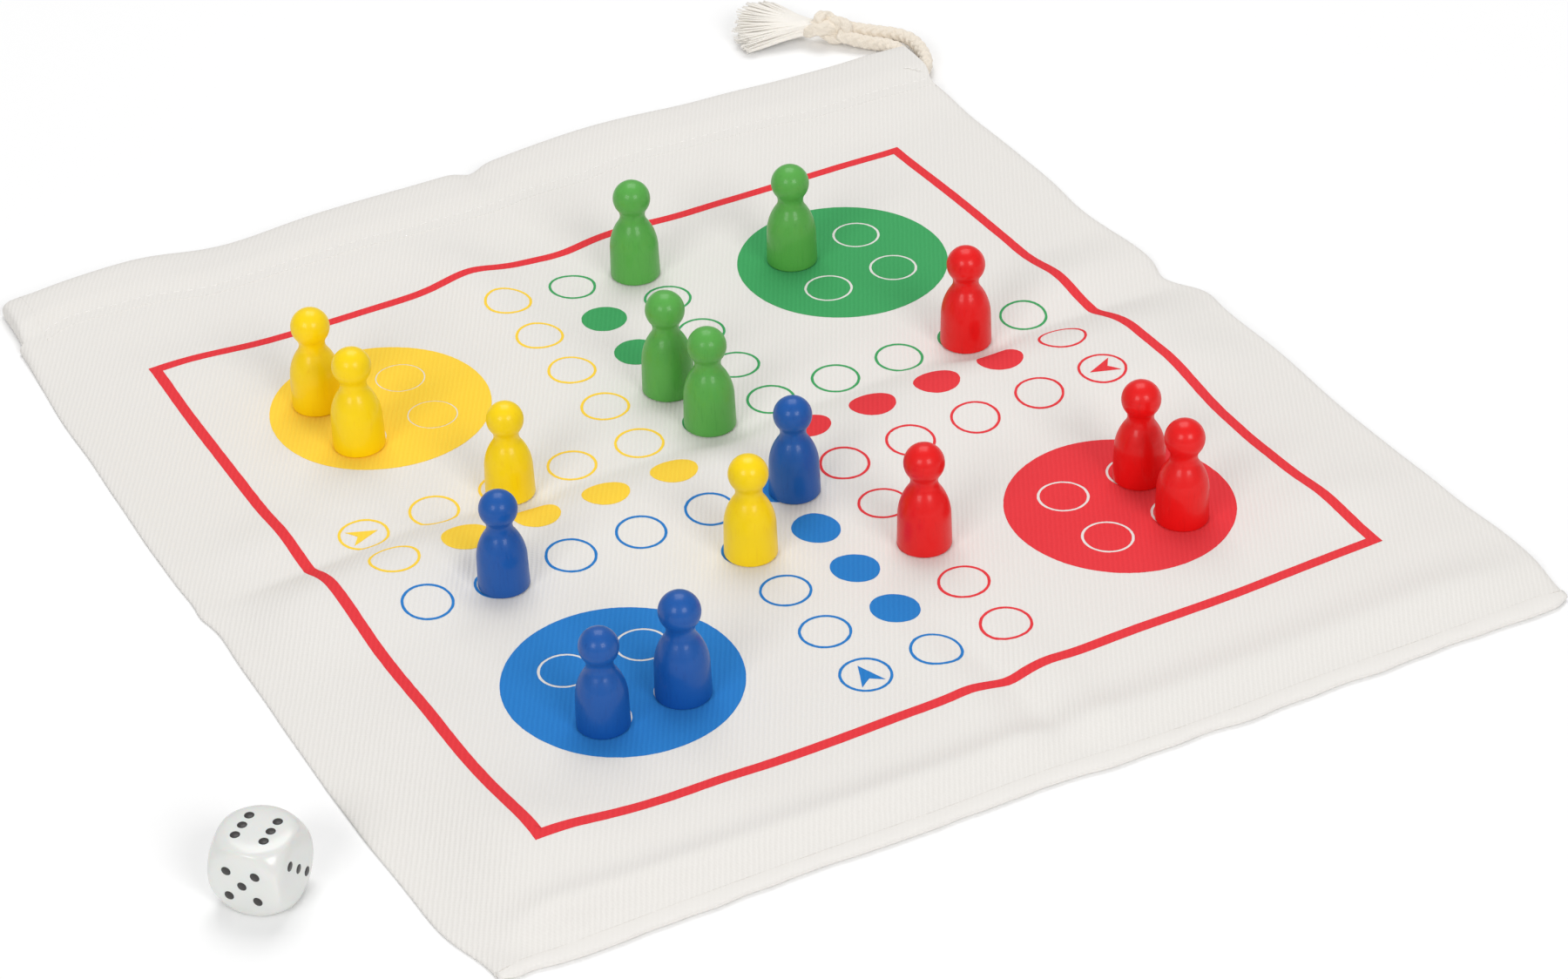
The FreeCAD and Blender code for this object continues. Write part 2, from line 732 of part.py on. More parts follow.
# Pawns
def pawn_outline(share):
    """Half of the turned outline, from the axis at the foot round to the top of the head."""
    height = dim.pawn_height * share
    head = dim.pawn_head_diameter * (share / 2)
    head_z = height - head
    neck = dim.pawn_neck_round * share
    neck_x = (head + neck) * cosine(dim.pawn_neck_angle)
    neck_z = head_z - (head + neck) * sine(dim.pawn_neck_angle)
    chin = (head * cosine(dim.pawn_neck_angle), head_z - head * sine(dim.pawn_neck_angle))
    waist = (neck_x - neck * cosine(dim.pawn_waist_angle), neck_z - neck * sine(dim.pawn_waist_angle))
    foot = dim.pawn_foot_diameter * (share / 2)
    flank_x = foot - dim.pawn_flare
    shoulder = (flank_x - waist[0]) / (as_size(1) - cosine(dim.pawn_waist_angle))
    flank = (flank_x, waist[1] - shoulder * sine(dim.pawn_waist_angle))
    rounding = dim.pawn_foot_round
    return [
        (zero, zero),
        (foot - rounding, zero),
        (foot, rounding, (foot - rounding, rounding), rounding, 1),
        flank,
        (waist[0], waist[1], (flank_x - shoulder, flank[1]), shoulder, 1),
        (chin[0], chin[1], (neck_x, neck_z), neck, -1),
        (zero, height, (zero, head_z), head, 1),
    ]


def make_pawns():
    pitch = dim.field_pitch
    for name, (across, along, share) in PAWN_SHARES.items():
        body = body_named(name)
        sketch = sketch_on(body, f"{name}_sketch", "XZ_Plane")
        draw_outline(sketch, pawn_outline(share))
        turned = body.newObject("PartDesign::Revolution", f"{name}_turned")
        turned.Profile = sketch
        turned.ReferenceAxis = (sketch, ["V_Axis"])
        turned.Angle = 360
        body.Tip = turned
        level = near_top if along < 0 else far_top
        place(body, (pitch * across, pitch * along, level + dim.print_film))


# Die
def die_pips(depth, thickness):
    """A round plug for every pip, set depth below its face and as thick as given."""
    side = dim.die_side.number
    radius = dim.die_pip_diameter.number / 2
    step = dim.die_pip_spacing.number
    plugs = []
    for normal, first, second, pips in DIE_FACES.values():
        out = FreeCAD.Vector(*normal)
        for a, b in pips:
            middle = out * (side / 2 - depth) + FreeCAD.Vector(*first) * (a * step)
            middle += FreeCAD.Vector(*second) * (b * step)
            plugs.append(Part.makeCylinder(radius, thickness, middle, out))
    return Part.makeCompound(plugs)


def make_die():
    side = dim.die_side
    half = side / 2
    cube = box_between("die_cube", (-half, -half, -half), (half, half, half))
    ball = doc.addObject("Part::Sphere", "die_ball")
    ball.Radius = dim.die_ball_diameter.number / 2
    bind(ball, "Radius", dim.die_ball_diameter / 2)
    common = doc.addObject("Part::Common", "die_common")
    common.Base = cube
    common.Tool = ball
    doc.recompute()
    rounded = doc.addObject("Part::Fillet", "die_rounded")
    rounded.Base = common
    radius = dim.die_edge_round.number
    rounded.Edges = [(index, radius, radius) for index in range(1, len(common.Shape.Edges) + 1)
                     if common.Shape.Edges[index - 1].Length > side.number]
    depth = dim.die_pip_depth.number
    pockets = add_shape("die_pockets", die_pips(depth, depth * OVERRUN_SHARE), label=False)
    die = doc.addObject("Part::Cut", "die")
    die.Base = rounded
    die.Tool = pockets
    keep(die, "die")
    doc.recompute()
    spot = FreeCAD.Placement(
        FreeCAD.Vector(-(bag_half + dim.die_standoff).number,
                       DIE_PLACE_SHARE * dim.field_pitch.number, half.number),
        FreeCAD.Rotation(FreeCAD.Vector(0, 0, 1), DIE_TURN_ANGLE))
    die.Placement = spot
    pips = add_shape("die_pips", die_pips(depth, dim.die_paint.number))
    pips.Placement = spot


def check_and_write():
    """Stop on any failed object or shape, then write each sub-part to its own file."""
    doc.recompute()
    for item in doc.Objects:
        if "Invalid" in item.State or "Error" in item.State:
            raise RuntimeError(f"{item.Label} failed: {item.State}")
    for node in nodes:
        shape = node.Shape
        if shape.isNull() or not shape.isValid() or not shape.Solids:
            raise RuntimeError(f"{node.Label} has no valid solid")
        shape.exportStep(f"parts/{node.Label}.step")
        box = shape.BoundBox
        print(f"{node.Label}: {len(shape.Solids)} solids, {shape.Volume:.1f} mm3, "
              f"z {box.ZMin:.2f} to {box.ZMax:.2f}")
    print(f"{len(nodes)} sub-parts written")


make_back_panel()
make_front_panel()
make_side("bag_left_side", -bag_half, -bag_half)
make_side("bag_right_side", panel_half, bag_half)
make_bottom_seam()
make_allowances()
make_back_casing()
make_front_casing()
make_casing_left_fold()
make_casing_stitching()
make_print()
cord_run("drawcord_front_run", front_cord_y, front_cord_z)
cord_run("drawcord_back_run", back_cord_y, back_cord_z)
make_left_turn()
make_free_cord()
make_pawns()
make_die()
check_and_write()
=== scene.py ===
"""Looks of a travel ludo game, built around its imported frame.

A cotton drawstring bag lies flat, with the board printed on its upper side. Sixteen turned wooden
pawns stand on the board, a die stands beside the bag, and the drawcord ends in a knot and a tassel.
All sizes in this file are millimetres. They become metres where a mesh is made.
"""
import logging
import math
from dataclasses import dataclass, field, replace
from enum import Enum
from functools import cache, partial, reduce
from typing import Callable, Iterator, Protocol, Sequence, Union

import bmesh
import bpy
from bmesh.types import BMEdge, BMesh
from bpy.types import Curve, Material, Mesh, Node, NodeSocket, Object
from mathutils import Matrix, Vector, noise


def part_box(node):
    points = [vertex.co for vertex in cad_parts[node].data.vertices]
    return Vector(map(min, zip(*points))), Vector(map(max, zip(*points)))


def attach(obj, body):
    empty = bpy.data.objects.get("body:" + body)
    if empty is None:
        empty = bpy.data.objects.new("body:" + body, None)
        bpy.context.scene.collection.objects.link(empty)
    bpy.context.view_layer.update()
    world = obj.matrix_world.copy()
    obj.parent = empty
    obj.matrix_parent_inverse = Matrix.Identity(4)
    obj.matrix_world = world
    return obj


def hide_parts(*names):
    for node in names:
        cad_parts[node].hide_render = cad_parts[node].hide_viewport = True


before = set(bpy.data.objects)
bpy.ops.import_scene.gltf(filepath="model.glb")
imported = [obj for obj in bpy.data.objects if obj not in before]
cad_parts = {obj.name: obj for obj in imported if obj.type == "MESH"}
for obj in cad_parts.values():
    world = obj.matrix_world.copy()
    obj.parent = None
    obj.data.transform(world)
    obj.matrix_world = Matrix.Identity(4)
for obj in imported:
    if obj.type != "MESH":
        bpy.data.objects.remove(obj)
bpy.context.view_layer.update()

log = logging.getLogger("travel_ludo")

METRES_PER_MM = 0.001
TURN = 2 * math.pi

Point = tuple[float, float]
Place = tuple[float, float, float]
Rgba = tuple[float, float, float, float]
# rows of height, centre and width, and rows of height, span and seed
Bells = tuple[tuple[float, float, float], ...]
Ripples = tuple[tuple[float, float, float], ...]
SocketOr = Union[NodeSocket, float, Sequence[float]]


def smooth_step(low: float, high: float, value: float) -> float:
    """Rise smoothly from 0 at low to 1 at high.

    Args:
        low: Where the rise starts.
        high: Where the rise ends.
        value: The place that is asked for.

    Returns:
        A share from 0 to 1.
    """
    share = min(1.0, max(0.0, (value - low) / (high - low)))
    return share * share * (3 - 2 * share)


def bell(value: float, centre: float, width: float) -> float:
    """A smooth bump that is 1 at its centre and about a third one width away."""
    return math.exp(-(((value - centre) / width) ** 2))


def bells(value: float, rows: Bells, start: float = 0.0) -> float:
    """The sum of some bells on top of a start."""
    return sum((height * bell(value, centre, width) for height, centre, width in rows), start)


def ripple(x: float, y: float, span: float, seed: float) -> float:
    """Soft noise from -1 to 1 whose waves are about span long."""
    return noise.noise(Vector((x / span, y / span, seed)))


def ripples(x: float, y: float, rows: Ripples, start: float = 0.0) -> float:
    """The sum of some ripples on top of a start."""
    return sum((height * ripple(x, y, span, seed) for height, span, seed in rows), start)


# Finishes


class NodeGraph:
    """One material and short ways to add nodes to it."""

    def __init__(self, name: str) -> None:
        """Make the material with its usual shader."""
        self.material = bpy.data.materials.new(name)
        self.material.use_nodes = True
        self.tree = self.material.node_tree
        self.shader = self.tree.nodes["Principled BSDF"]
        # where a point is, in the piece's own coordinates
        self.place = self.add("ShaderNodeTexCoord", {}).outputs["Object"]

    def feed(self, socket: NodeSocket, value: SocketOr) -> None:
        """Link or set one input.

        Args:
            socket: The input.
            value: An output to link to it, or the value that it keeps.
        """
        if isinstance(value, NodeSocket):
            self.tree.links.new(value, socket)
        else:
            socket.default_value = value

    def add(self, kind: str, inputs: dict, settings: dict | None = None) -> Node:
        """Add a node.

        Args:
            kind: Blender's name for the node type.
            inputs: Input name or number to value or linked output.
            settings: Properties of the node itself.

        Returns:
            The new node.
        """
        node = self.tree.nodes.new(kind)
        for key, value in (settings or {}).items():
            setattr(node, key, value)
        for key, value in inputs.items():
            self.feed(node.inputs[key], value)
        return node

    def math(self, operation: str, first: SocketOr, second: SocketOr = 0.0) -> NodeSocket:
        """Join two numbers with one operation, such as ADD or SINE."""
        node = self.add("ShaderNodeMath", {0: first, 1: second}, {"operation": operation})
        return node.outputs[0]

    def mix(self, share: SocketOr, first: SocketOr, second: SocketOr) -> NodeSocket:
        """Mix two colours by a share from 0 to 1."""
        node = self.add("ShaderNodeMix", {}, {"data_type": "RGBA"})
        self.feed(node.inputs["Factor"], share)
        self.feed(node.inputs[6], first)
        self.feed(node.inputs[7], second)
        return node.outputs[2]

    def total(self, *terms: tuple[NodeSocket, float], plus: float | None = None) -> NodeSocket:
        """Add up outputs.

        Args:
            terms: Each output with its weight.
            plus: A number that is added in the end.

        Returns:
            The output that holds the sum.
        """
        parts = [self.math("MULTIPLY", output, weight) for output, weight in terms]
        if plus is not None:
            parts.append(plus)
        return reduce(partial(self.math, "ADD"), parts)

    def noise(self, waves_per_mm: float, detail: float = 2.0,
              place: NodeSocket | None = None) -> NodeSocket:
        """Soft noise around 0.5, with that many waves to the millimetre."""
        inputs = {"Vector": self.place if place is None else place,
                  "Scale": waves_per_mm / METRES_PER_MM, "Detail": detail}
        return self.add("ShaderNodeTexNoise", inputs).outputs["Fac"]

    def bump(self, height: NodeSocket, depth_mm: float, strength: float = 1.0) -> None:
        """Let a height shape the shader's normal."""
        node = self.add("ShaderNodeBump", {
            "Height": height, "Distance": depth_mm * METRES_PER_MM, "Strength": strength})
        self.feed(self.shader.inputs["Normal"], node.outputs["Normal"])

    def shade(self, **values: SocketOr) -> Material:
        """Set the shader's sockets, with _ for a space in their names, and give the material."""
        for key, value in values.items():
            self.feed(self.shader.inputs[key.replace("_", " ")], value)
        return self.material


@dataclass(frozen=True)
class TwillWeave:
    """The diagonal ribs of the cotton cloth, which the printing follows too."""

    rib_pitch: float = 1.05
    rib_angle: float = 30.0
    float_pitch: float = 0.62
    wander: float = 2.6
    rib_share: float = 0.36
    float_share: float = 0.1
    fibre_share: float = 0.35
    base: float = 0.33

    def height(self, graph: NodeGraph) -> NodeSocket:
        """Height of the weave from about 0 to 1.

        Args:
            graph: The material that is being made.

        Returns:
            The output that holds the height.
        """
        x, y, _ = graph.add("ShaderNodeSeparateXYZ", {0: graph.place}).outputs
        angle = math.radians(self.rib_angle)
        per_rib = TURN / (self.rib_pitch * METRES_PER_MM)
        per_float = TURN / (self.float_pitch * METRES_PER_MM)
        wander = graph.math("MULTIPLY", graph.noise(0.35), self.wander)
        across = graph.total((x, per_rib * math.cos(angle)), (y, -per_rib * math.sin(angle)))
        along = graph.total((x, per_float * math.sin(angle)), (y, per_float * math.cos(angle)))
        rib = graph.math("SINE", graph.math("ADD", across, wander))
        step = graph.math("SINE", graph.math("ADD", along, graph.math("MULTIPLY", across, 0.5)))
        fibre = graph.noise(2.4, 3.0)
        return graph.total((rib, self.rib_share), (step, self.float_share),
                           (fibre, self.fibre_share), plus=self.base)


@dataclass(frozen=True)
class ClothFinish:
    """Unbleached-white cotton twill, or the same cloth under a layer of printing ink."""

    name: str
    colour: Rgba
    shadow_colour: Rgba
    mottle_colour: Rgba
    # share of painted shade in the low places of the weave
    valley_shade_share: float = 0.42
    mottle_share: float = 0.35
    fleck_share: float = 0.25
    bump_depth: float = 0.085
    roughness: float = 0.95
    weave: TwillWeave = TwillWeave()

    def material(self) -> Material:
        """The finished node material."""
        graph = NodeGraph(self.name)
        height = self.weave.height(graph)
        # painted shade: the low places of the weave are darkened towards shadow_colour, and then the
        # random mottle is mixed in
        valley = graph.math("MULTIPLY", graph.math("SUBTRACT", 1.0, height), self.valley_shade_share)
        shaded_weave = graph.mix(valley, self.colour, self.shadow_colour)
        patch, fleck = graph.noise(0.028, 3.0), graph.noise(0.9, 4.0)
        wear = graph.total((patch, self.mottle_share), (fleck, self.fleck_share))
        worn_and_shaded = graph.mix(wear, shaded_weave, self.mottle_colour)
        graph.bump(height, self.bump_depth)
        return graph.shade(Base_Color=worn_and_shaded, Roughness=self.roughness, Specular_IOR_Level=0.04)


@dataclass(frozen=True)
class ThreadFinish:
    """Twisted cotton: the drawcord, the tassel's threads and the sewing thread."""

    name: str
    colour: Rgba
    shadow_colour: Rgba
    fibre_waves: float = 3.0
    bump_depth: float = 0.12

    def material(self) -> Material:
        """The finished node material."""
        graph = NodeGraph(self.name)
        fibre = graph.noise(self.fibre_waves, 4.0)
        cloud = graph.noise(0.35)
        tone = graph.mix(graph.math("MULTIPLY", graph.math("ADD", fibre, cloud), 0.42),
                         self.colour, self.shadow_colour)
        graph.bump(fibre, self.bump_depth, 0.8)
        return graph.shade(Base_Color=tone, Roughness=0.9, Sheen_Weight=0.2,
                           Sheen_Roughness=0.6, Specular_IOR_Level=0.2)


@dataclass(frozen=True)
class LacquerFinish:
    """Coloured satin lacquer on turned wood, with the grain and turning marks under it."""

    name: str
    colour: Rgba
    grain_colour: Rgba
    ring_pitch: float = 0.8
    bump_depth: float = 0.05
    roughness: float = 0.34

    def material(self) -> Material:
        """The finished node material."""
        graph = NodeGraph(self.name)
        stretched = graph.add("ShaderNodeMapping", {"Vector": graph.place, "Scale": (1.0, 1.0, 0.12)})
        grain = graph.noise(1.6, 5.0, stretched.outputs[0])
        mark = graph.add("ShaderNodeValToRGB", {"Fac": grain})
        mark.color_ramp.elements[0].position = 0.56
        mark.color_ramp.elements[1].position = 0.74
        cloud = graph.noise(0.12)
        share = graph.total((mark.outputs["Color"], 0.35), (cloud, 0.3))
        tone = graph.mix(share, self.colour, self.grain_colour)
        up = graph.add("ShaderNodeSeparateXYZ", {0: graph.place}).outputs[2]
        rings = graph.math("SINE", graph.math("MULTIPLY", up, TURN / (self.ring_pitch * METRES_PER_MM)))
        peel = graph.noise(0.9, 3.0)
        graph.bump(graph.total((rings, 0.07), (peel, 0.7), (grain, 0.3)), self.bump_depth, 0.7)
        rough = graph.total((cloud, 0.14), plus=self.roughness)
        return graph.shade(Base_Color=tone, Roughness=rough, Coat_Weight=0.22,
                           Coat_Roughness=0.12, Specular_IOR_Level=0.25)


@dataclass(frozen=True)
class GlossFinish:
    """Moulded die plastic, or the paint in its pips."""

    name: str
    colour: Rgba
    tint: Rgba
    roughness: float
    inner_light: float = 0.0

    def material(self) -> Material:
        """The finished node material."""
        graph = NodeGraph(self.name)
        cloud = graph.noise(0.09)
        scuff = graph.noise(1.1, 4.0)
        tone = graph.mix(cloud, self.colour, self.tint)
        rough = graph.total((scuff, 0.12), plus=self.roughness)
        graph.bump(graph.noise(0.35), 0.03, 0.35)
        return graph.shade(Base_Color=tone, Roughness=rough, Subsurface_Weight=self.inner_light,
                           Subsurface_Scale=0.002, Coat_Weight=0.15, Coat_Roughness=0.1)


@dataclass(frozen=True)
class TableFinish:
    """Plain pale surface under the object."""

    name: str = "pale_table"

    def material(self) -> Material:
        """The finished node material."""
        graph = NodeGraph(self.name)
        cloud = graph.noise(0.004)
        tone = graph.mix(cloud, (0.97, 0.97, 0.97, 1), (0.99, 0.99, 0.99, 1))
        return graph.shade(Base_Color=tone, Roughness=0.8, Specular_IOR_Level=0.2)


class Colour(Enum):
    """The four players' colours, each with its quarter turn from the yellow corner."""

    YELLOW = 0
    GREEN = 1
    RED = 2
    BLUE = 3

    @property
    def word(self) -> str:
        """The colour's name as the frame's nodes have it."""
        return self.name.lower()


CLOTH = ClothFinish("white_twill", (0.82, 0.797, 0.765, 1), (0.67, 0.65, 0.615, 1),
                    (0.82, 0.795, 0.76, 1))
# less painted shade in the weave's low places, and a shallower bump, for the turned lip
TURNED_CLOTH = replace(CLOTH, name="turned_twill", valley_shade_share=0.16, bump_depth=0.03)
CORD = ThreadFinish("braided_cotton", (0.90, 0.835, 0.74, 1), (0.78, 0.68, 0.55, 1))
TASSEL = ThreadFinish("tassel_threads", (0.97, 0.935, 0.88, 1), (0.90, 0.86, 0.79, 1))
SEWING = ThreadFinish("sewing_cotton", (0.93, 0.915, 0.89, 1), (0.86, 0.84, 0.81, 1), 6.0, 0.03)
INKS = {
    Colour.YELLOW: ClothFinish("yellow_printing", (1.0, 0.68, 0.055, 1), (0.93, 0.53, 0.03, 1),
                               (1.0, 0.70, 0.10, 1)),
    Colour.GREEN: ClothFinish("green_printing", (0.058, 0.38, 0.125, 1), (0.03, 0.26, 0.075, 1),
                              (0.085, 0.41, 0.155, 1)),
    Colour.RED: ClothFinish("red_printing", (0.82, 0.048, 0.058, 1), (0.62, 0.026, 0.033, 1),
                            (0.82, 0.068, 0.08, 1)),
    Colour.BLUE: ClothFinish("blue_printing", (0.028, 0.215, 0.60, 1), (0.014, 0.135, 0.43, 1),
                             (0.04, 0.24, 0.62, 1)),
}
LACQUERS = {
    Colour.YELLOW: LacquerFinish("yellow_lacquer", (1.0, 0.71, 0.0, 1), (0.90, 0.55, 0.0, 1)),
    Colour.GREEN: LacquerFinish("green_lacquer", (0.108, 0.425, 0.075, 1), (0.07, 0.31, 0.05, 1)),
    Colour.RED: LacquerFinish("red_lacquer", (0.84, 0.006, 0.006, 1), (0.64, 0.003, 0.003, 1)),
    Colour.BLUE: LacquerFinish("blue_lacquer", (0.008, 0.10, 0.40, 1), (0.005, 0.065, 0.29, 1)),
}
DIE_WHITE = GlossFinish("die_plastic", (0.76, 0.77, 0.745, 1), (0.72, 0.73, 0.705, 1), 0.16, 0.2)
DIE_BLACK = GlossFinish("die_paint", (0.022, 0.02, 0.02, 1), (0.035, 0.032, 0.03, 1), 0.45)


# Pieces


class Finish(Protocol):
    """Whatever gives a material."""

    def material(self) -> Material:
        """The finished node material."""


def make_piece(bm: BMesh, name: str, finish: Finish, body: str,
               nodes: Sequence[str] = ()) -> Object:
    """Turn a finished bmesh into a piece that rides on a body.

    Args:
        bm: The mesh in millimetres. It is freed.
        name: The piece's name.
        finish: What gives its material.
        body: The frame's body that carries it.
        nodes: The frame's nodes that it stands for.

    Returns:
        The piece, at the origin and unturned.
    """
    bmesh.ops.scale(bm, vec=(METRES_PER_MM,) * 3, verts=bm.verts)
    for edge in bm.edges:
        edge.smooth = not edge.is_boundary
    mesh = bpy.data.meshes.new(name)
    bm.to_mesh(mesh)
    bm.free()
    return dress(mesh, name, finish, body, nodes)


@cache
def finished(finish: Finish) -> Material:
    """The material of a finish, made once."""
    return finish.material()


def dress(mesh: Mesh, name: str, finish: Finish, body: str,
          nodes: Sequence[str] = ()) -> Object:
    """Make a mesh in metres a piece, with its material, body and nodes."""
    mesh.polygons.foreach_set("use_smooth", [True] * len(mesh.polygons))
    mesh.materials.clear()
    mesh.materials.append(finished(finish))
    piece = bpy.data.objects.new(name, mesh)
    bpy.context.scene.collection.objects.link(piece)
    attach(piece, body)
    if nodes:
        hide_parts(*nodes)
    log.info("%s: %d faces", name, len(mesh.polygons))
    return piece


def cloth_piece(bm: BMesh, name: str, node: str, finish: Finish = CLOTH) -> Object:
    """Turn a finished bmesh into a piece of the bag's own cloth."""
    return make_piece(bm, name, finish, "bag", [node])


def thicken(piece: Object, thickness: float) -> Object:
    """Give a sheet its thickness in millimetres, below its surface."""
    wall = piece.modifiers.new("thickness", "SOLIDIFY")
    wall.thickness = thickness * METRES_PER_MM
    wall.offset = -1.0
    return piece


def warped_grid(across: int, along: int, place: Callable[[float, float], Sequence[float]],
                closed: bool = False) -> BMesh:
    """A grid whose points are moved to where a function puts them.

    Args:
        across: Faces across.
        along: Faces along.
        place: Gives a point in millimetres for two shares from 0 to 1.
        closed: Whether the last row across meets the first one.

    Returns:
        The mesh, with its faces turned up or outward.
    """
    bm = bmesh.new()
    bmesh.ops.create_grid(bm, x_segments=across, y_segments=along, size=1.0)
    for vert in bm.verts:
        vert.co = Vector(place((vert.co.x + 1) / 2, (vert.co.y + 1) / 2))
    if closed:
        bmesh.ops.remove_doubles(bm, verts=bm.verts, dist=1e-4)
    bmesh.ops.recalc_face_normals(bm, faces=bm.faces)
    if not closed and sum(face.normal.z * face.calc_area() for face in bm.faces) < 0:
        bmesh.ops.reverse_faces(bm, faces=bm.faces)
    return bm


def along_section(points: Sequence[Point], share: float, closed: bool = False) -> Point:
    """A place on a smooth line through points.

    Args:
        points: The points that the line passes.
        share: How far along, from 0 to 1, in equal steps from point to point.
        closed: Whether the line returns to its first point.

    Returns:
        The place.
    """
    count = len(points)
    spans = count if closed else count - 1
    at = min(share * spans, spans - 1e-9)
    index = int(at)
    t = at - index

    def point(i: int) -> Point:
        """One of the points. Past an end it is the end, or the line goes round."""
        return points[i % count] if closed else points[min(max(i, 0), count - 1)]

    before, here, after, beyond = (point(index + step) for step in (-1, 0, 1, 2))
    return tuple(
        0.5 * (2 * b + (c - a) * t + (2 * a - 5 * b + 4 * c - d) * t * t
               + (3 * b - a - 3 * c + d) * t ** 3)
        for a, b, c, d in zip(before, here, after, beyond))


def mesh_of(curve: Curve) -> Mesh:
    """The mesh of a curve, which is removed."""
    holder = bpy.data.objects.new(curve.name, curve)
    mesh = bpy.data.meshes.new_from_object(holder)
    bpy.data.objects.remove(holder)
    bpy.data.curves.remove(curve)
    return mesh


def joined(first: Mesh, second: Mesh) -> Mesh:
    """Join the second mesh to the first one. The second is removed."""
    bm = bmesh.new()
    bm.from_mesh(first)
    bm.from_mesh(second)
    bm.to_mesh(first)
    bm.free()
    bpy.data.meshes.remove(second)
    return first


def tube_mesh(lines: Sequence[Sequence[Sequence[float]]], radius: float, sides: int,
              tapers: Sequence[Sequence[float]] | None = None) -> Mesh:
    """Round tubes along lines, as one mesh in metres.

    Args:
        lines: The points of each tube's middle, in millimetres.
        radius: The tubes' radius in millimetres.
        sides: How many sides a tube has, an even number.
        tapers: For each line, the share of the radius at each point.

    Returns:
        The mesh.
    """
    curve = bpy.data.curves.new("tube_lines", "CURVE")
    curve.dimensions = "3D"
    curve.bevel_depth = radius * METRES_PER_MM
    curve.bevel_resolution = max(0, sides // 2 - 2)
    curve.use_fill_caps = True
    for number, line in enumerate(lines):
        spline = curve.splines.new("POLY")
        spline.points.add(len(line) - 1)
        for index, point in enumerate(line):
            spline.points[index].co = (*(Vector(point) * METRES_PER_MM), 1.0)
            if tapers:
                spline.points[index].radius = tapers[number][index]
    mesh = mesh_of(curve)
    bm = bmesh.new()
    bm.from_mesh(mesh)
    bmesh.ops.remove_doubles(bm, verts=bm.verts, dist=1e-7)
    bmesh.ops.recalc_face_normals(bm, faces=bm.faces)
    bm.to_mesh(mesh)
    bm.free()
    return mesh


# The board's relief

# Each pawn's place in field pitches along X and Y, and its share of the common pawn's size.
PAWN_STEPS = {
    "yellow_1": (-4.28, 4.11, 1.0), "yellow_2": (-4.20, 2.93, 1.0),
    "yellow_3": (-2.96, 0.87, 0.93), "yellow_4": (-0.98, -2.06, 0.98),
    "green_1": (0.92, 4.83, 1.0), "green_2": (3.00, 4.00, 1.02),
    "green_3": (-0.05, 1.97, 1.02), "green_4": (0.03, 0.93, 1.0),
    "red_1": (4.00, 0.89, 1.0), "red_2": (1.01, -3.02, 1.0),
    "red_3": (4.14, -3.20, 0.98), "red_4": (4.11, -4.24, 0.99),
    "blue_1": (0.16, -1.16, 0.96), "blue_2": (-3.97, -1.05, 0.94),
    "blue_3": (-4.17, -4.21, 0.94), "blue_4": (-3.07, -4.18, 1.0),
}
FIELD_PITCH = 16.7


@dataclass(frozen=True)
class Crease:
    """A soft ridge along a straight line, or a valley where its height is below 0."""

    start: Point
    end: Point
    height: float
    width: float
    fade: float = 14.0

    def lift(self, x: float, y: float) -> float:
        """How much it lifts the cloth at a place."""
        ahead_x, ahead_y = self.end[0] - self.start[0], self.end[1] - self.start[1]
        length = math.hypot(ahead_x, ahead_y)
        off_x, off_y = x - self.start[0], y - self.start[1]
        along = (off_x * ahead_x + off_y * ahead_y) / length
        across = (off_y * ahead_x - off_x * ahead_y) / length
        past = max(-along, along - length, 0.0)
        reach = (across / self.width) ** 2 + (past / self.fade) ** 2
        return self.height * math.exp(-reach) if reach < 9 else 0.0


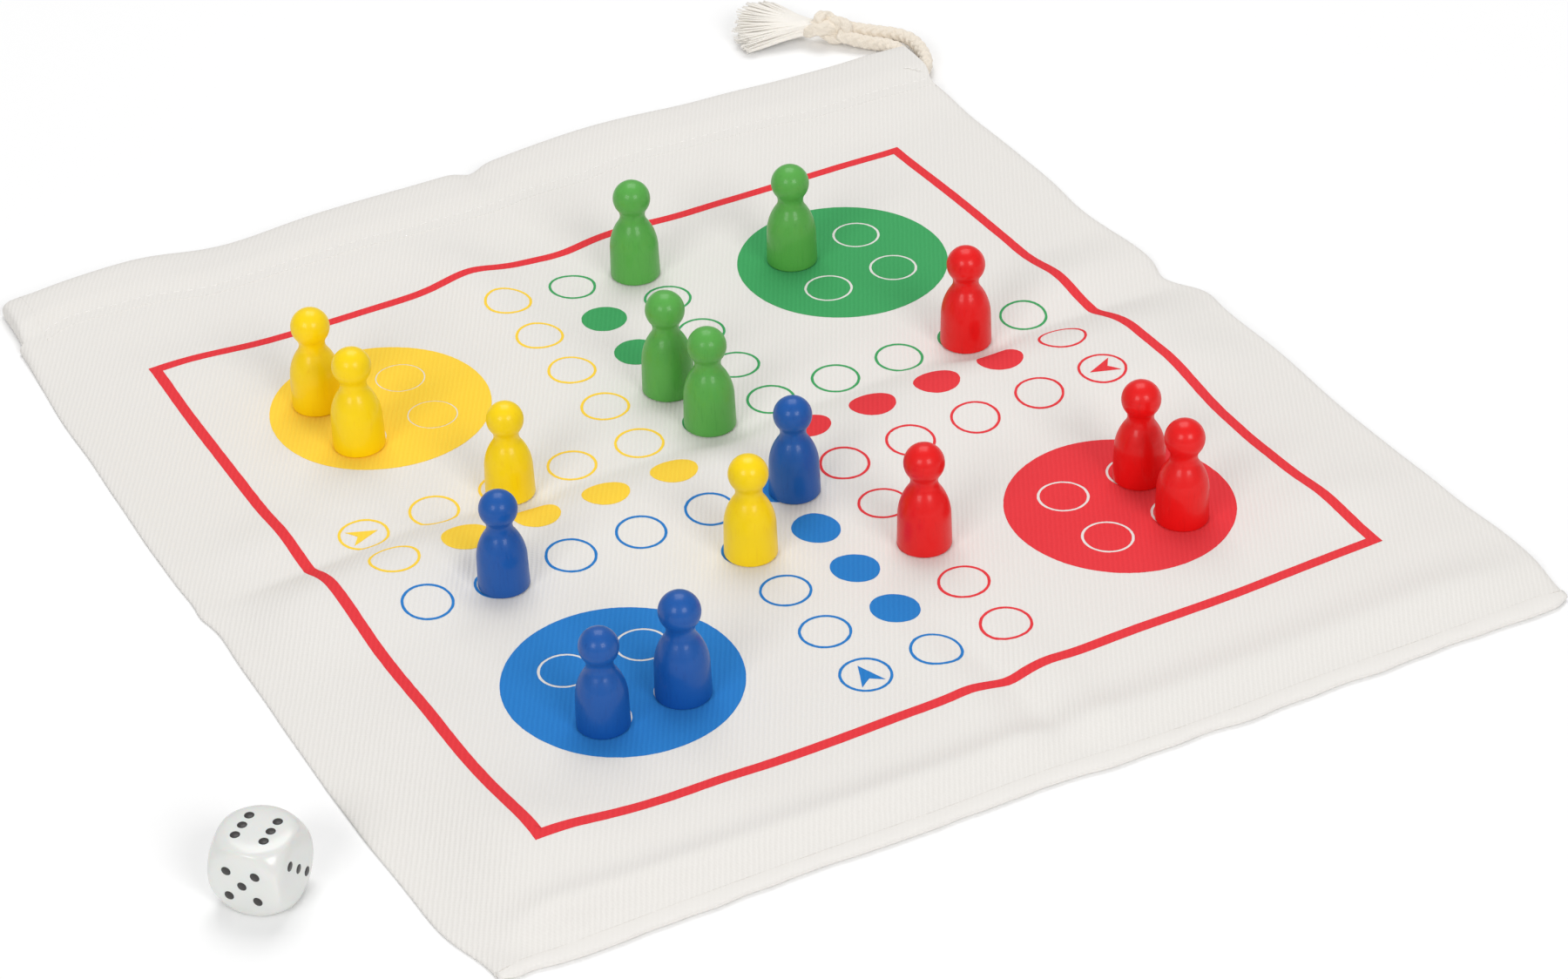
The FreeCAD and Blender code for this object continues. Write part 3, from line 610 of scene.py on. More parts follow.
@dataclass
class BoardRelief:
    """How high the upper face of the cloth lies, with the creases of a bag that was folded in four.

    The frame's own level holds under each pawn, and the creases and soft waves lie between them.
    """

    far_top: float = 2.0
    rise: float = 1.9
    foot: float = 8.5
    crest: float = -7.5
    half_width: float = 123.7
    panel_half: float = 122.1
    near: float = -127.4
    far: float = 126.0
    cells_across: int = 168
    cells_along: int = 178
    frame_half: float = 100.0
    pawn_radius: float = 6.4
    pawn_spread: float = 13.0
    seam_top: float = 1.85
    seam_reach: float = 10.0
    edge_top: float = 1.35
    hem_top: float = 4.1
    # places along X, and how far the sewn line beside the hem lies from its straight place there
    sewn_line: tuple[Point, ...] = (
        (-121, 0.4), (-109, 3.6), (-92, 2.5), (-73, -1.6), (-52, -0.8), (-36, -0.6), (-22, -1.8),
        (-4, -2.2), (10, -0.4), (22, -0.5), (36, 1.6), (61, -0.1), (74, -0.8), (88, -2.9),
        (104, -2.8), (124, -3.2))
    # each corner of the frame line, and how far it lies from its straight place
    corner_drift: tuple[tuple[Point, Point], ...] = (
        ((-100.0, -100.0), (0.95, 0.0)), ((100.0, -100.0), (0.5, 0.7)),
        ((100.0, 100.0), (-1.2, 0.3)), ((-100.0, 100.0), (0.3, 1.1)))
    corner_reach: float = 22.0
    # where the sides begin to wander and where they wander in full, out from the middle
    side_zone: Point = (101.0, 122.0)
    waves: Ripples = ((0.3, 46.0, 3.1), (0.17, 17.0, 7.7))
    foot_line: Bells = ((3.2, -72.0, 19.0), (1.5, 60.0, 25.0))
    near_lean: Bells = ((1.0, 0.0, 18.0), (0.9, 66.0, 24.0), (0.8, -120.0, 12.0))
    right_edge: Bells = (
        (1.3, 3.0, 6.0), (-2.3, 15.0, 5.0), (-1.4, 52.0, 13.0), (0.6, -32.0, 14.0),
        (-0.6, 128.0, 10.0), (1.5, -113.0, 12.0))
    left_edge: Bells = (
        (0.8, -60.0, 32.0), (1.0, 34.0, 26.0), (-4.3, -129.0, 15.0), (-1.4, 132.0, 14.0),
        (0.6, 9.0, 3.5), (-0.5, 0.0, 6.0), (-1.0, 116.0, 14.0))
    creases: tuple[Crease, ...] = (
        # the hump beside the fold, at the left, in the middle and at the right
        Crease((-128, 24), (-100, 24), 1.25, 8.5, 9.0),
        Crease((-70, 25), (70, 25), 0.3, 8.0),
        Crease((94, 25), (128, 27), 1.6, 8.0, 12.0),
        Crease((104, 42), (128, 40), -0.6, 6.0, 10.0),
        # the second fold, towards the mouth and towards the bottom seam
        Crease((-18, 52), (-20, 128), 1.25, 8.5, 16.0),
        Crease((-20, 96), (-21, 108), 1.1, 9.0, 11.0),
        Crease((5, 84), (4, 130), -0.7, 6.5),
        Crease((18, 100), (30, 128), 0.8, 12.0, 10.0),
        Crease((8, -126), (3, -36), -0.8, 6.0, 12.0),
        Crease((9, -126), (8, -92), -0.6, 3.2, 10.0),
        Crease((-2, -126), (-1, -88), 0.5, 4.5, 10.0),
        Crease((18, -126), (17, -96), 0.45, 4.5, 10.0),
        # the far margin and the two far corners
        Crease((-110, 105), (-92, 98), 1.0, 12.0),
        Crease((-118, 60), (-108, 96), -0.4, 10.0),
        Crease((106, 62), (108, 112), -0.8, 17.0),
        # the near left corner that stands proud, and the bulge above it
        Crease((-112, -108), (-100, -96), 2.7, 19.0, 16.0),
        Crease((-104, -92), (-102, -54), 0.75, 15.0),
        Crease((-88, -100), (-60, -104), 0.9, 12.0, 12.0),
        # slanting folds of the right margin
        Crease((88, -55), (104, -52), -0.45, 7.0, 8.0),
        Crease((98, -80), (128, -84), 1.1, 8.5, 12.0),
        Crease((112, -60), (128, -52), -0.4, 7.0, 8.0),
        Crease((64, -98), (98, -98), -0.35, 8.0),
        # the thick turned edge that lifts the cloth beside the bottom seam
        Crease((-112, -111), (118, -110), -0.55, 6.0, 8.0),
        Crease((-118, -119), (122, -119.5), 1.0, 5.5, 8.0),
    )
    pawns: list[Point] = field(default_factory=lambda: [
        (x * FIELD_PITCH, y * FIELD_PITCH) for x, y, _ in PAWN_STEPS.values()])
    knots: dict[tuple[int, int], float] = field(default_factory=dict)

    def level(self, y: float) -> float:
        """The frame's own height of the upper face at a place along Y."""
        share = min(1.0, max(0.0, (self.foot - y) / (self.foot - self.crest)))
        return self.far_top + share * self.rise

    def creased(self, x: float, y: float) -> float:
        """The height with all creases and waves, as if no pawn stood on the cloth."""
        left, right = smooth_step(30.0, 100.0, -x), smooth_step(30.0, 100.0, x)
        foot = bells(x, self.foot_line, self.foot + 1.8)
        climb = min(1.0, max(0.0, (foot - y) / (14.5 + 3.0 * right)))
        crest = 3.3 + 1.4 * left + 1.6 * right
        crest_y = -4.0 - 15.0 * right
        settled = self.rise + 0.4 * left - 0.2 * right
        fold = crest * math.sin(climb * math.pi / 2) ** 1.12
        fold -= (crest - settled) * smooth_step(crest_y, crest_y - 25.0, y)
        lift = sum(crease.lift(x, y) for crease in self.creases)
        waves = ripples(x, y, self.waves)
        margin = max(smooth_step(98.0, 116.0, abs(x)), smooth_step(102.0, 120.0, abs(y)))
        waves += 0.4 * margin * ripple(x, y, 27.0, 12.3)
        beside_hem = smooth_step(103.0, self.far, y)
        top = max(self.far_top + fold + lift + waves, 1.5)
        top += (self.hem_top - 0.2 - top) * beside_hem
        edge = self.edge_top + (0.45 + 0.4 * (top - self.far_top) if x > 0 else 0.0)
        thin = smooth_step(100.0, self.panel_half + 1.5, abs(x)) ** 1.2 * (1 - 0.6 * beside_hem)
        return top + (edge - top) * thin

    def height(self, x: float, y: float) -> float:
        """The height of the upper face of the cloth.

        Args:
            x: Place along the mouth.
            y: Place towards the mouth.

        Returns:
            The height above the table in millimetres.
        """
        loose = 1.0
        for pawn_x, pawn_y in self.pawns:
            away = math.hypot(x - pawn_x, y - pawn_y)
            if away < self.pawn_spread:
                loose *= smooth_step(self.pawn_radius, self.pawn_spread, away)
        level = self.level(y)
        roll = smooth_step(self.seam_reach, 0.0, y - self.near) ** 1.3
        top = level + loose * (self.creased(x, y) - level)
        return top + (self.seam_top - top) * roll

    def knot(self, i: int, j: int) -> float:
        """The height at one crossing of the panel's grid, kept once it is known."""
        if (i, j) not in self.knots:
            self.knots[i, j] = self.height(*self.crossing(i, j))
        return self.knots[i, j]

    def crossing(self, i: float, j: float) -> Point:
        """Where a crossing of the panel's grid lies."""
        return (self.panel_half * (2 * i / self.cells_across - 1),
                self.near + (self.far - self.near) * j / self.cells_along)

    def lying(self, x: float, y: float) -> float:
        """The height of the panel's own mesh, which the printing lies on."""
        across = (x / self.panel_half + 1) / 2 * self.cells_across
        along = (y - self.near) / (self.far - self.near) * self.cells_along
        i, j = math.floor(across), math.floor(along)
        u, v = across - i, along - j
        low = self.knot(i, j) * (1 - u) + self.knot(i + 1, j) * u
        high = self.knot(i, j + 1) * (1 - u) + self.knot(i + 1, j + 1) * u
        return low * (1 - v) + high * v

    def sewn_drift(self, x: float) -> float:
        """How far the sewn line beside the hem lies from its straight place."""
        drift = self.sewn_line[0][1]
        for (low, before), (high, after) in zip(self.sewn_line, self.sewn_line[1:]):
            drift += (after - before) * smooth_step(low, high, x)
        return drift

    def moved(self, x: float, y: float) -> Point:
        """Where a place of the flat bag lies: its edges wander and its near end leans.

        Args:
            x: Place along the mouth.
            y: Place towards the mouth.

        Returns:
            The place that it has moved to.
        """
        tilt = 0.6 - 3.4 * math.sin(math.pi / 2 * min(1.0, max(-1.0, x / 100)))
        lean = bells(x, self.near_lean, tilt)
        near_share = smooth_step(-(self.frame_half + 3), -131.0, y)
        far_share = smooth_step(self.frame_half + 3, self.far, y)
        near_half = 1.3 * smooth_step(22.0, 0.0, y) * smooth_step(-128.0, -104.0, y)
        right = bells(y, self.right_edge) + near_half
        left = bells(y, self.left_edge)
        side = right * smooth_step(*self.side_zone, x) - left * smooth_step(*self.side_zone, -x)
        ahead = lean * near_share + self.sewn_drift(x) * far_share
        for (corner_x, corner_y), (drift_x, drift_y) in self.corner_drift:
            pull = bell(x, corner_x, self.corner_reach) * bell(y, corner_y, self.corner_reach)
            side += drift_x * pull
            ahead += drift_y * pull
        return x + side, y + ahead


# Bag


@dataclass
class BagShell:
    """The two panels, the folded side, the sewn side, the bottom seam and the turned edges."""

    relief: BoardRelief
    cloth: float = 0.5
    side_bulge: float = 1.5
    # how far inward the side's upper edge starts, and how much it stands above the panel there
    side_overlap: tuple[Point, ...] = ((4.2, -0.05), (2.8, 0.02), (1.4, 0.05), (0.0, -0.06))
    lip_half_width: float = 2.4
    lip_half_height: float = 0.95
    lip_middle: float = -128.5
    puckers: Ripples = ((0.12, 4.6, 1.0), (0.1, 19.0, 3.0))
    lip_wander: Ripples = ((0.8, 21.0, 4.0), (0.4, 8.0, 6.0))
    # how far the front panel's last two rows lie below the sides' upper edges
    tuck: Point = (0.4, 0.12)
    side_cloth: float = 0.45
    # the turned edges inside the seams: name, near left corner and far right corner
    turned_edges: tuple[tuple[str, Point, Point], ...] = (
        ("bottom_turned_edge", (-121.4, -127.0), (121.4, -118.6)),
        ("side_turned_edge", (113.2, -118.0), (121.6, 125.5)))

    def build(self) -> None:
        front = self.front_panel()
        back = self.back_panel()
        others = [self.side("bag_left_fold", "bag_left_side", -1),
                  self.side("bag_right_seam", "bag_right_side", 1),
                  self.bottom_seam(), *self.allowances()]

    def front_panel(self) -> Object:
        """The board side, one sheet with all its creases."""
        relief = self.relief

        def place(u: float, v: float) -> Place:
            i, j = round(u * relief.cells_across), round(v * relief.cells_along)
            x, y = relief.crossing(i, j)
            z = relief.knot(i, j)
            row = min(i, relief.cells_across - i)
            return *relief.moved(x, y), z - (self.tuck[row] if row < len(self.tuck) else 0.0)

        bm = warped_grid(relief.cells_across, relief.cells_along, place)
        return thicken(cloth_piece(bm, "bag_board_panel", "bag_front_panel"), self.cloth)

    def back_panel(self) -> Object:
        """The side that lies on the table."""
        def place(u: float, v: float) -> Place:
            relief = self.relief
            x, y = relief.crossing(u * relief.cells_across, v * relief.cells_along)
            return *relief.moved(x, y), self.cloth

        bm = warped_grid(60, 64, place)
        return thicken(cloth_piece(bm, "bag_table_panel", "bag_back_panel"), self.cloth)

    def side(self, name: str, node: str, hand: int) -> Object:
        """One long side: cloth that turns from the upper panel down to the lower one.

        Args:
            name: The piece's name.
            node: The frame's node that it stands for.
            hand: -1 for the left side, 1 for the right side.

        Returns:
            The piece.
        """
        relief = self.relief

        def place(u: float, v: float) -> Place:
            y = relief.near - 0.6 + v * (relief.far - relief.near + 0.6)
            over = [relief.lying(hand * (relief.panel_half - inward), max(y, relief.near)) + hover
                    for inward, hover in self.side_overlap]
            out = self.side_bulge + 0.15 * ripple(y, 0.0, 14.0, 5.0 + hand)
            top = over[-1]
            section = [(-inward, z) for (inward, _), z in zip(self.side_overlap, over)]
            section += [(0.7 * out, 0.74 * top), (out, 0.42 * top), (0.8 * out, 0.14), (0.0, 0.02),
                        (-1.0, 0.02)]
            across, z = along_section(section, u)
            return *relief.moved(hand * (relief.panel_half + across), y), max(z, 0.0)

        bm = warped_grid(24, 190, place)
        outward = sum(face.normal.x * hand for face in bm.faces)
        if outward < 0:
            bmesh.ops.reverse_faces(bm, faces=bm.faces)
        return thicken(cloth_piece(bm, name, node), self.side_cloth)

    def bottom_seam(self) -> Object:
        """The puckered lip of turned cloth below the panel, flat on the table."""
        half = self.relief.half_width

        def place(u: float, v: float) -> Place:
            x = (2 * v - 1) * (half - 0.3)
            end = 0.45 + 0.55 * smooth_step(half + 0.4, half - 4.5, abs(x))
            pucker = ripples(x, 0.0, self.puckers, 1.0)
            across, up = math.cos(TURN * u), math.sin(TURN * u)
            wander = ripples(x, 0.0, self.lip_wander)
            blunt = math.copysign(abs(across) ** (1.0 if up > 0 else 0.4), across)
            y = self.lip_middle + self.lip_half_width * end * blunt
            y += wander * smooth_step(0.4, -1.0, across)
            z = self.lip_half_height * (1 + end * pucker * up)
            return *self.relief.moved(x, y), max(z, 0.0)

        bm = warped_grid(28, 330, place, closed=True)
        bmesh.ops.holes_fill(bm, edges=[e for e in bm.edges if e.is_boundary])
        return cloth_piece(bm, "bag_seam_rolls", "bag_bottom_seam", TURNED_CLOTH)

    def allowances(self) -> list[Object]:
        """The turned edges inside the bottom seam and the right side."""
        pieces = []
        for name, low, high in self.turned_edges:
            def place(u: float, v: float, low=low, high=high) -> Place:
                x = low[0] + u * (high[0] - low[0])
                y = low[1] + v * (high[1] - low[1])
                x += 0.2 * ripple(x, y, 9.0, 2.0)
                return *self.relief.moved(x, y), 1.0

            node = name.replace("turned_edge", "seam_allowance")
            pieces.append(thicken(cloth_piece(warped_grid(40, 40, place), name, node), self.cloth))
        return pieces


@dataclass
class Casing:
    """The hem that holds the drawcord: front and back layers, the folded end and the stitches."""

    relief: BoardRelief
    start: float = -116.9
    end: float = 123.7
    fold_end: float = -122.7
    stitch_pitch: float = 3.0
    stitch_length: float = 2.0
    stitch_radius: float = 0.13
    stitch_z: float = 4.05
    stitch_y: float = 126.6
    back_tack: int = 3
    tack_start: Place = (119.0, 131.2, 5.0)
    tack_step: Point = (1.1, -0.8)
    tack_angle: float = -0.45
    cloth: float = 0.4
    waves: Bells = (
        (3.9, -98.0, 22.0), (1.9, -82.0, 12.0), (-1.6, -66.0, 15.0), (1.2, -30.0, 22.0),
        (4.2, 33.0, 27.0), (0.8, 74.0, 12.0), (-1.0, 106.0, 14.0))
    uneven: Ripples = ((0.22, 19.0, 21.0), (0.22, 47.0, 23.0))
    # sections of the hem across its length, as places along Y and heights
    upper: tuple[Point, ...] = (
        (122.8, 3.81), (124.4, 3.92), (125.9, 3.98), (127.2, 4.08), (128.6, 4.4), (131.4, 4.88),
        (134.2, 4.9), (137.0, 4.85), (139.6, 4.65), (141.7, 4.1), (143.1, 3.0), (143.6, 2.2))
    under: tuple[Point, ...] = (
        (143.3, 1.6), (142.2, 1.5), (139.9, 2.7), (137.8, 3.9), (135.9, 4.4), (134.4, 4.1),
        (132.9, 2.6), (131.6, 1.35), (129.4, 1.15), (127.4, 1.7), (126.0, 3.0), (124.4, 3.4))
    back: tuple[Point, ...] = (
        (125.4, 0.05), (129.0, 0.0), (133.0, 0.0), (137.5, 0.0), (142.2, 0.05), (143.5, 0.45),
        (142.2, 0.9), (139.2, 1.25), (137.7, 2.7), (136.6, 3.8), (135.6, 4.1), (134.6, 3.8),
        (133.6, 2.6), (132.8, 1.2), (131.0, 0.92), (128.0, 0.9), (125.4, 0.9))
    fold_under: tuple[Point, ...] = (
        (143.6, 1.2), (143.4, 0.4), (142.4, 0.02), (136.0, 0.0), (130.0, 0.0), (125.6, 0.02),
        (124.6, 0.8), (123.9, 2.6))
    fold_middle: Point = (134.3, 0.9)
    fold_overlap: float = 1.5

    def sway(self, x: float, y: float, z: float) -> Place:
        """Move a point of the hem with its soft waves and the notch where the bag was folded.

        Args:
            x: Place along the mouth.
            y: Place towards the mouth.
            z: Height above the table.

        Returns:
            The place that it has moved to.
        """
        share = smooth_step(1.0, 4.5, z)
        lip = smooth_step(126.0, 142.0, y)
        notch = bell(x, 1.0, 3.6)
        drift = bells(x, self.waves)
        wave = ripples(x, 0.0, self.uneven)
        shift = (1 - lip) * self.relief.sewn_drift(x)
        shift += lip * (0.65 * drift + 0.35 * ripple(x, 0.0, 33.0, 25.0) - 1.5 * notch)
        lift = share * (wave * lip + 0.22 * drift * lip - 0.9 * notch * lip)
        half = self.relief.panel_half
        sewn = 1 - smooth_step(126.0, 133.0, y)
        beside = self.relief.lying(max(-half, min(half - 0.1, x)), min(y, self.relief.far - 0.1))
        lift += smooth_step(1.0, 3.6, z) * sewn * (beside - self.relief.hem_top + 0.2)
        lift *= smooth_step(-0.2, 2.2, z)
        fold = smooth_step(-112.0, -122.0, x) * (y - 124.0) / 19.6
        shift += 1.1 * fold
        shift -= 1.1 * lip * smooth_step(112.0, self.end, x)
        inward = 1.3 - 1.7 * smooth_step(124.5, 131.0, y)
        x += 2.3 * fold - inward * smooth_step(118.0, self.end, x)
        x, _ = self.relief.moved(x, y)
        return x, y + shift, max(z + lift, 0.0)

    def build(self) -> None:
        """Build the hem's pieces."""
        self.layer("hem_front", "front_casing", self.upper + self.under, 56, 260)
        self.layer("hem_back", "back_casing", self.back, 40, 200)
        self.folded_end()
        self.stitches()

    def layer(self, name: str, node: str, section: Sequence[Point], across: int,
              along: int) -> Object:
        """Build one layer of the hem, with its half of the cord's tunnel.

        Args:
            name: The piece's name.
            node: The frame's node that it stands for.
            section: The closed section across the hem.
            across: Faces round the section.
            along: Faces along the hem.

        Returns:
            The piece.
        """
        def place(u: float, v: float) -> Place:
            y, z = along_section(section, u, closed=True)
            return self.sway(self.start + v * (self.end - self.start), y, z)

        bm = warped_grid(across, along, place, closed=True)
        return thicken(cloth_piece(bm, name, node), self.cloth)

    def folded_end(self) -> Object:
        """The end of the hem at the bag's folded side, where the cord turns back."""
        middle = Vector(self.fold_middle)
        length = self.start - self.fold_end

        def place(u: float, v: float) -> Place:
            y, z = along_section(self.upper + self.fold_under, u, closed=True)
            depth = math.sin(v * math.pi / 2)
            shrink = math.sqrt(max(0.0, 1.0 - v ** 3.2))
            x = self.start + self.fold_overlap - (length + self.fold_overlap) * depth
            y = middle.x + (y - middle.x) * (0.74 + 0.255 * shrink)
            z = middle.y + (z - middle.y) * (0.16 + 0.825 * shrink)
            return self.sway(x, y, z)

        bm = warped_grid(56, 18, place, closed=True)
        rim = [e for e in bm.edges if e.is_boundary
               and all(v.co.x < self.start - 1.0 for v in e.verts)]
        bmesh.ops.triangle_fill(bm, use_beauty=True, edges=rim)
        bmesh.ops.recalc_face_normals(bm, faces=bm.faces)
        return cloth_piece(bm, "hem_folded_end", "casing_left_fold")

    def stitch(self, bm: BMesh, placed: Matrix, poles: Matrix) -> None:
        """Add one stitch: a small ball drawn out along its X axis."""
        drawn = Matrix.Diagonal(
            (self.stitch_length / 2, self.stitch_radius, self.stitch_radius * 0.8, 1))
        bmesh.ops.create_uvsphere(bm, u_segments=8, v_segments=6, radius=1.0,
                                  matrix=placed @ drawn @ poles)

    def stitches(self) -> Object:
        """The row of stitches along the front of the hem, and the back tack at its right end."""
        bm = bmesh.new()
        count = int((self.end - self.start) / self.stitch_pitch)
        for index in range(count):
            x = self.start + (index + 0.5) * self.stitch_pitch
            y = self.stitch_y + 0.12 * ripple(x, 0.0, 7.0, 31.0)
            here, ahead = (Vector(self.sway(x + step, y, self.stitch_z)) for step in (0.0, 0.5))
            along = (ahead - here).to_track_quat("X", "Z").to_matrix().to_4x4()
            self.stitch(bm, Matrix.Translation(here) @ along, Matrix.Rotation(math.pi / 2, 4, "Y"))
        x, y, z = self.tack_start
        turned = Matrix.Rotation(self.tack_angle, 4, "Z")
        for number in range(self.back_tack):
            spot = self.sway(x + self.tack_step[0] * number, y + self.tack_step[1] * number, z)
            self.stitch(bm, Matrix.Translation(spot) @ turned, Matrix.Identity(4))
        return make_piece(bm, "hem_stitches", SEWING, "bag", ["casing_stitching"])


# Printed board


@dataclass
class PrintedBoard:
    """The board's figures as thin skins that follow the cloth."""

    relief: BoardRelief
    pitch: float = FIELD_PITCH
    ring_radius: float = 5.6
    ring_line: float = 0.6
    spot_radius: float = 5.3
    home_offset: float = 60.0
    home_radius: float = 25.0
    circle_offset: float = 8.8
    circle_radius: float = 5.7
    circle_line: float = 0.6
    frame_half: float = 100.0
    frame_line: float = 2.5
    arrow_length: float = 6.6
    arrow_width: float = 5.4
    arrow_notch: float = 1.9
    hover: float = 0.07
    film: float = 0.05
    pale_circle_line: float = 0.3
    sides: int = 60
    disc_sides: int = 56
    home_sides: int = 150
    bleed: float = 0.07
    arm: tuple[tuple[int, int], ...] = (
        (-5, 0), (-5, 1), (-4, 1), (-3, 1), (-2, 1), (-1, 1), (-1, 2), (-1, 3), (-1, 4), (-1, 5))

    def build(self) -> None:
        """Build the frame line and the four colours."""
        self.frame_skin()
        for colour in Colour:
            self.colour_skin(colour)

    def circle(self, bm: BMesh, x: float, y: float, radius: float, sides: int) -> list[BMEdge]:
        """Add an empty circle and give its edges."""
        made = bmesh.ops.create_circle(bm, cap_ends=False, segments=sides, radius=radius,
                                       matrix=Matrix.Translation((x, y, 0)))
        return list({edge for vert in made["verts"] for edge in vert.link_edges})

    def ring(self, bm: BMesh, x: float, y: float) -> None:
        """Add a field: two circles joined by a loop of faces."""
        loops = []
        for size in (self.ring_radius, self.ring_radius - self.ring_line):
            loops += self.circle(bm, x, y, size, self.sides)
        bmesh.ops.bridge_loops(bm, edges=loops)

    def disc(self, bm: BMesh, x: float, y: float, radius: float) -> None:
        """Add a filled disc."""
        bmesh.ops.create_circle(bm, cap_ends=True, segments=self.disc_sides, radius=radius,
                                matrix=Matrix.Translation((x, y, 0)))

    def home(self, bm: BMesh, line: float) -> None:
        """Add the yellow corner's home disc, with the lines of its four circles left bare.

        Args:
            bm: The mesh to add to.
            line: The width of the bare lines.
        """
        centre_x, centre_y = -self.home_offset, self.home_offset
        circles = [(centre_x + side * self.circle_offset, centre_y + end * self.circle_offset)
                   for side in (-1, 1) for end in (-1, 1)]
        for x, y in circles:
            self.disc(bm, x, y, self.circle_radius - line)
        edges = self.circle(bm, centre_x, centre_y, self.home_radius, self.home_sides)
        for x, y in circles:
            edges += self.circle(bm, x, y, self.circle_radius, self.sides)
        bmesh.ops.triangle_fill(bm, use_beauty=True, edges=edges)

    def arrow(self, bm: BMesh) -> None:
        """Add the dart on the yellow start field."""
        x, y = -5 * self.pitch, self.pitch
        tail = x - self.arrow_length / 2
        verts = [bm.verts.new((*corner, 0)) for corner in (
            (x + self.arrow_length / 2, y), (tail, y + self.arrow_width / 2),
            (tail + self.arrow_notch, y), (tail, y - self.arrow_width / 2))]
        made = bm.faces.new(verts)
        bmesh.ops.triangulate(bm, faces=[made])

    def lay(self, bm: BMesh, name: str, finish: ClothFinish,
            node: str) -> Object:
        """Cut flat figures finely, lay them on the cloth and give them their film.

        Args:
            bm: The figures at height 0.
            name: The piece's name.
            finish: The ink.
            node: The frame's node that the piece stands for.

        Returns:
            The piece.
        """
        relief = self.relief
        for axis, count in ((0, relief.cells_across), (1, relief.cells_along)):
            low = min(v.co[axis] for v in bm.verts)
            high = max(v.co[axis] for v in bm.verts)
            normal = Vector((axis == 0, axis == 1, 0))
            for number in range(count):
                cut = relief.crossing(number, number)[axis]
                if low < cut < high:
                    bmesh.ops.bisect_plane(bm, geom=bm.verts[:] + bm.edges[:] + bm.faces[:],
                                           dist=1e-5, plane_co=normal * cut, plane_no=normal)
        for vert in bm.verts:
            x, y, _ = vert.co
            if vert.is_boundary:
                x += self.bleed * ripple(vert.co.x, vert.co.y, 0.9, 41.0)
                y += self.bleed * ripple(vert.co.x, vert.co.y, 0.9, 43.0)
            vert.co = (*relief.moved(x, y), relief.lying(x, y) + self.hover)
        bmesh.ops.recalc_face_normals(bm, faces=bm.faces)
        flipped = [face for face in bm.faces if face.normal.z < 0]
        bmesh.ops.reverse_faces(bm, faces=flipped)
        return thicken(make_piece(bm, name, finish, "bag", [node]), self.film)

    def frame_skin(self) -> Object:
        """The red line round the board."""
        bm = bmesh.new()
        edges = []
        for half in (self.frame_half, self.frame_half - self.frame_line):
            verts = [bm.verts.new((sx * half, sy * half, 0))
                     for sx, sy in ((-1, -1), (1, -1), (1, 1), (-1, 1))]
            edges += [bm.edges.new((verts[i - 1], verts[i])) for i in range(4)]
        bmesh.ops.triangle_fill(bm, use_beauty=True, edges=edges)
        return self.lay(bm, "print_frame", INKS[Colour.RED], "print_frame_line")

    def colour_skin(self, colour: Colour) -> Object:
        """All figures of one colour, drawn in the yellow corner and turned to their own."""
        bm = bmesh.new()
        for step_x, step_y in self.arm:
            self.ring(bm, step_x * self.pitch, step_y * self.pitch)
        for step in range(1, 5):
            self.disc(bm, -step * self.pitch, 0, self.spot_radius)
        self.home(bm, self.pale_circle_line if colour is Colour.YELLOW else self.circle_line)
        self.arrow(bm)
        bmesh.ops.rotate(bm, cent=(0, 0, 0), verts=bm.verts,
                         matrix=Matrix.Rotation(-colour.value * math.pi / 2, 3, "Z"))
        return self.lay(bm, f"print_{colour.word}_figures", INKS[colour],
                        f"print_{colour.word}")


# Drawcord


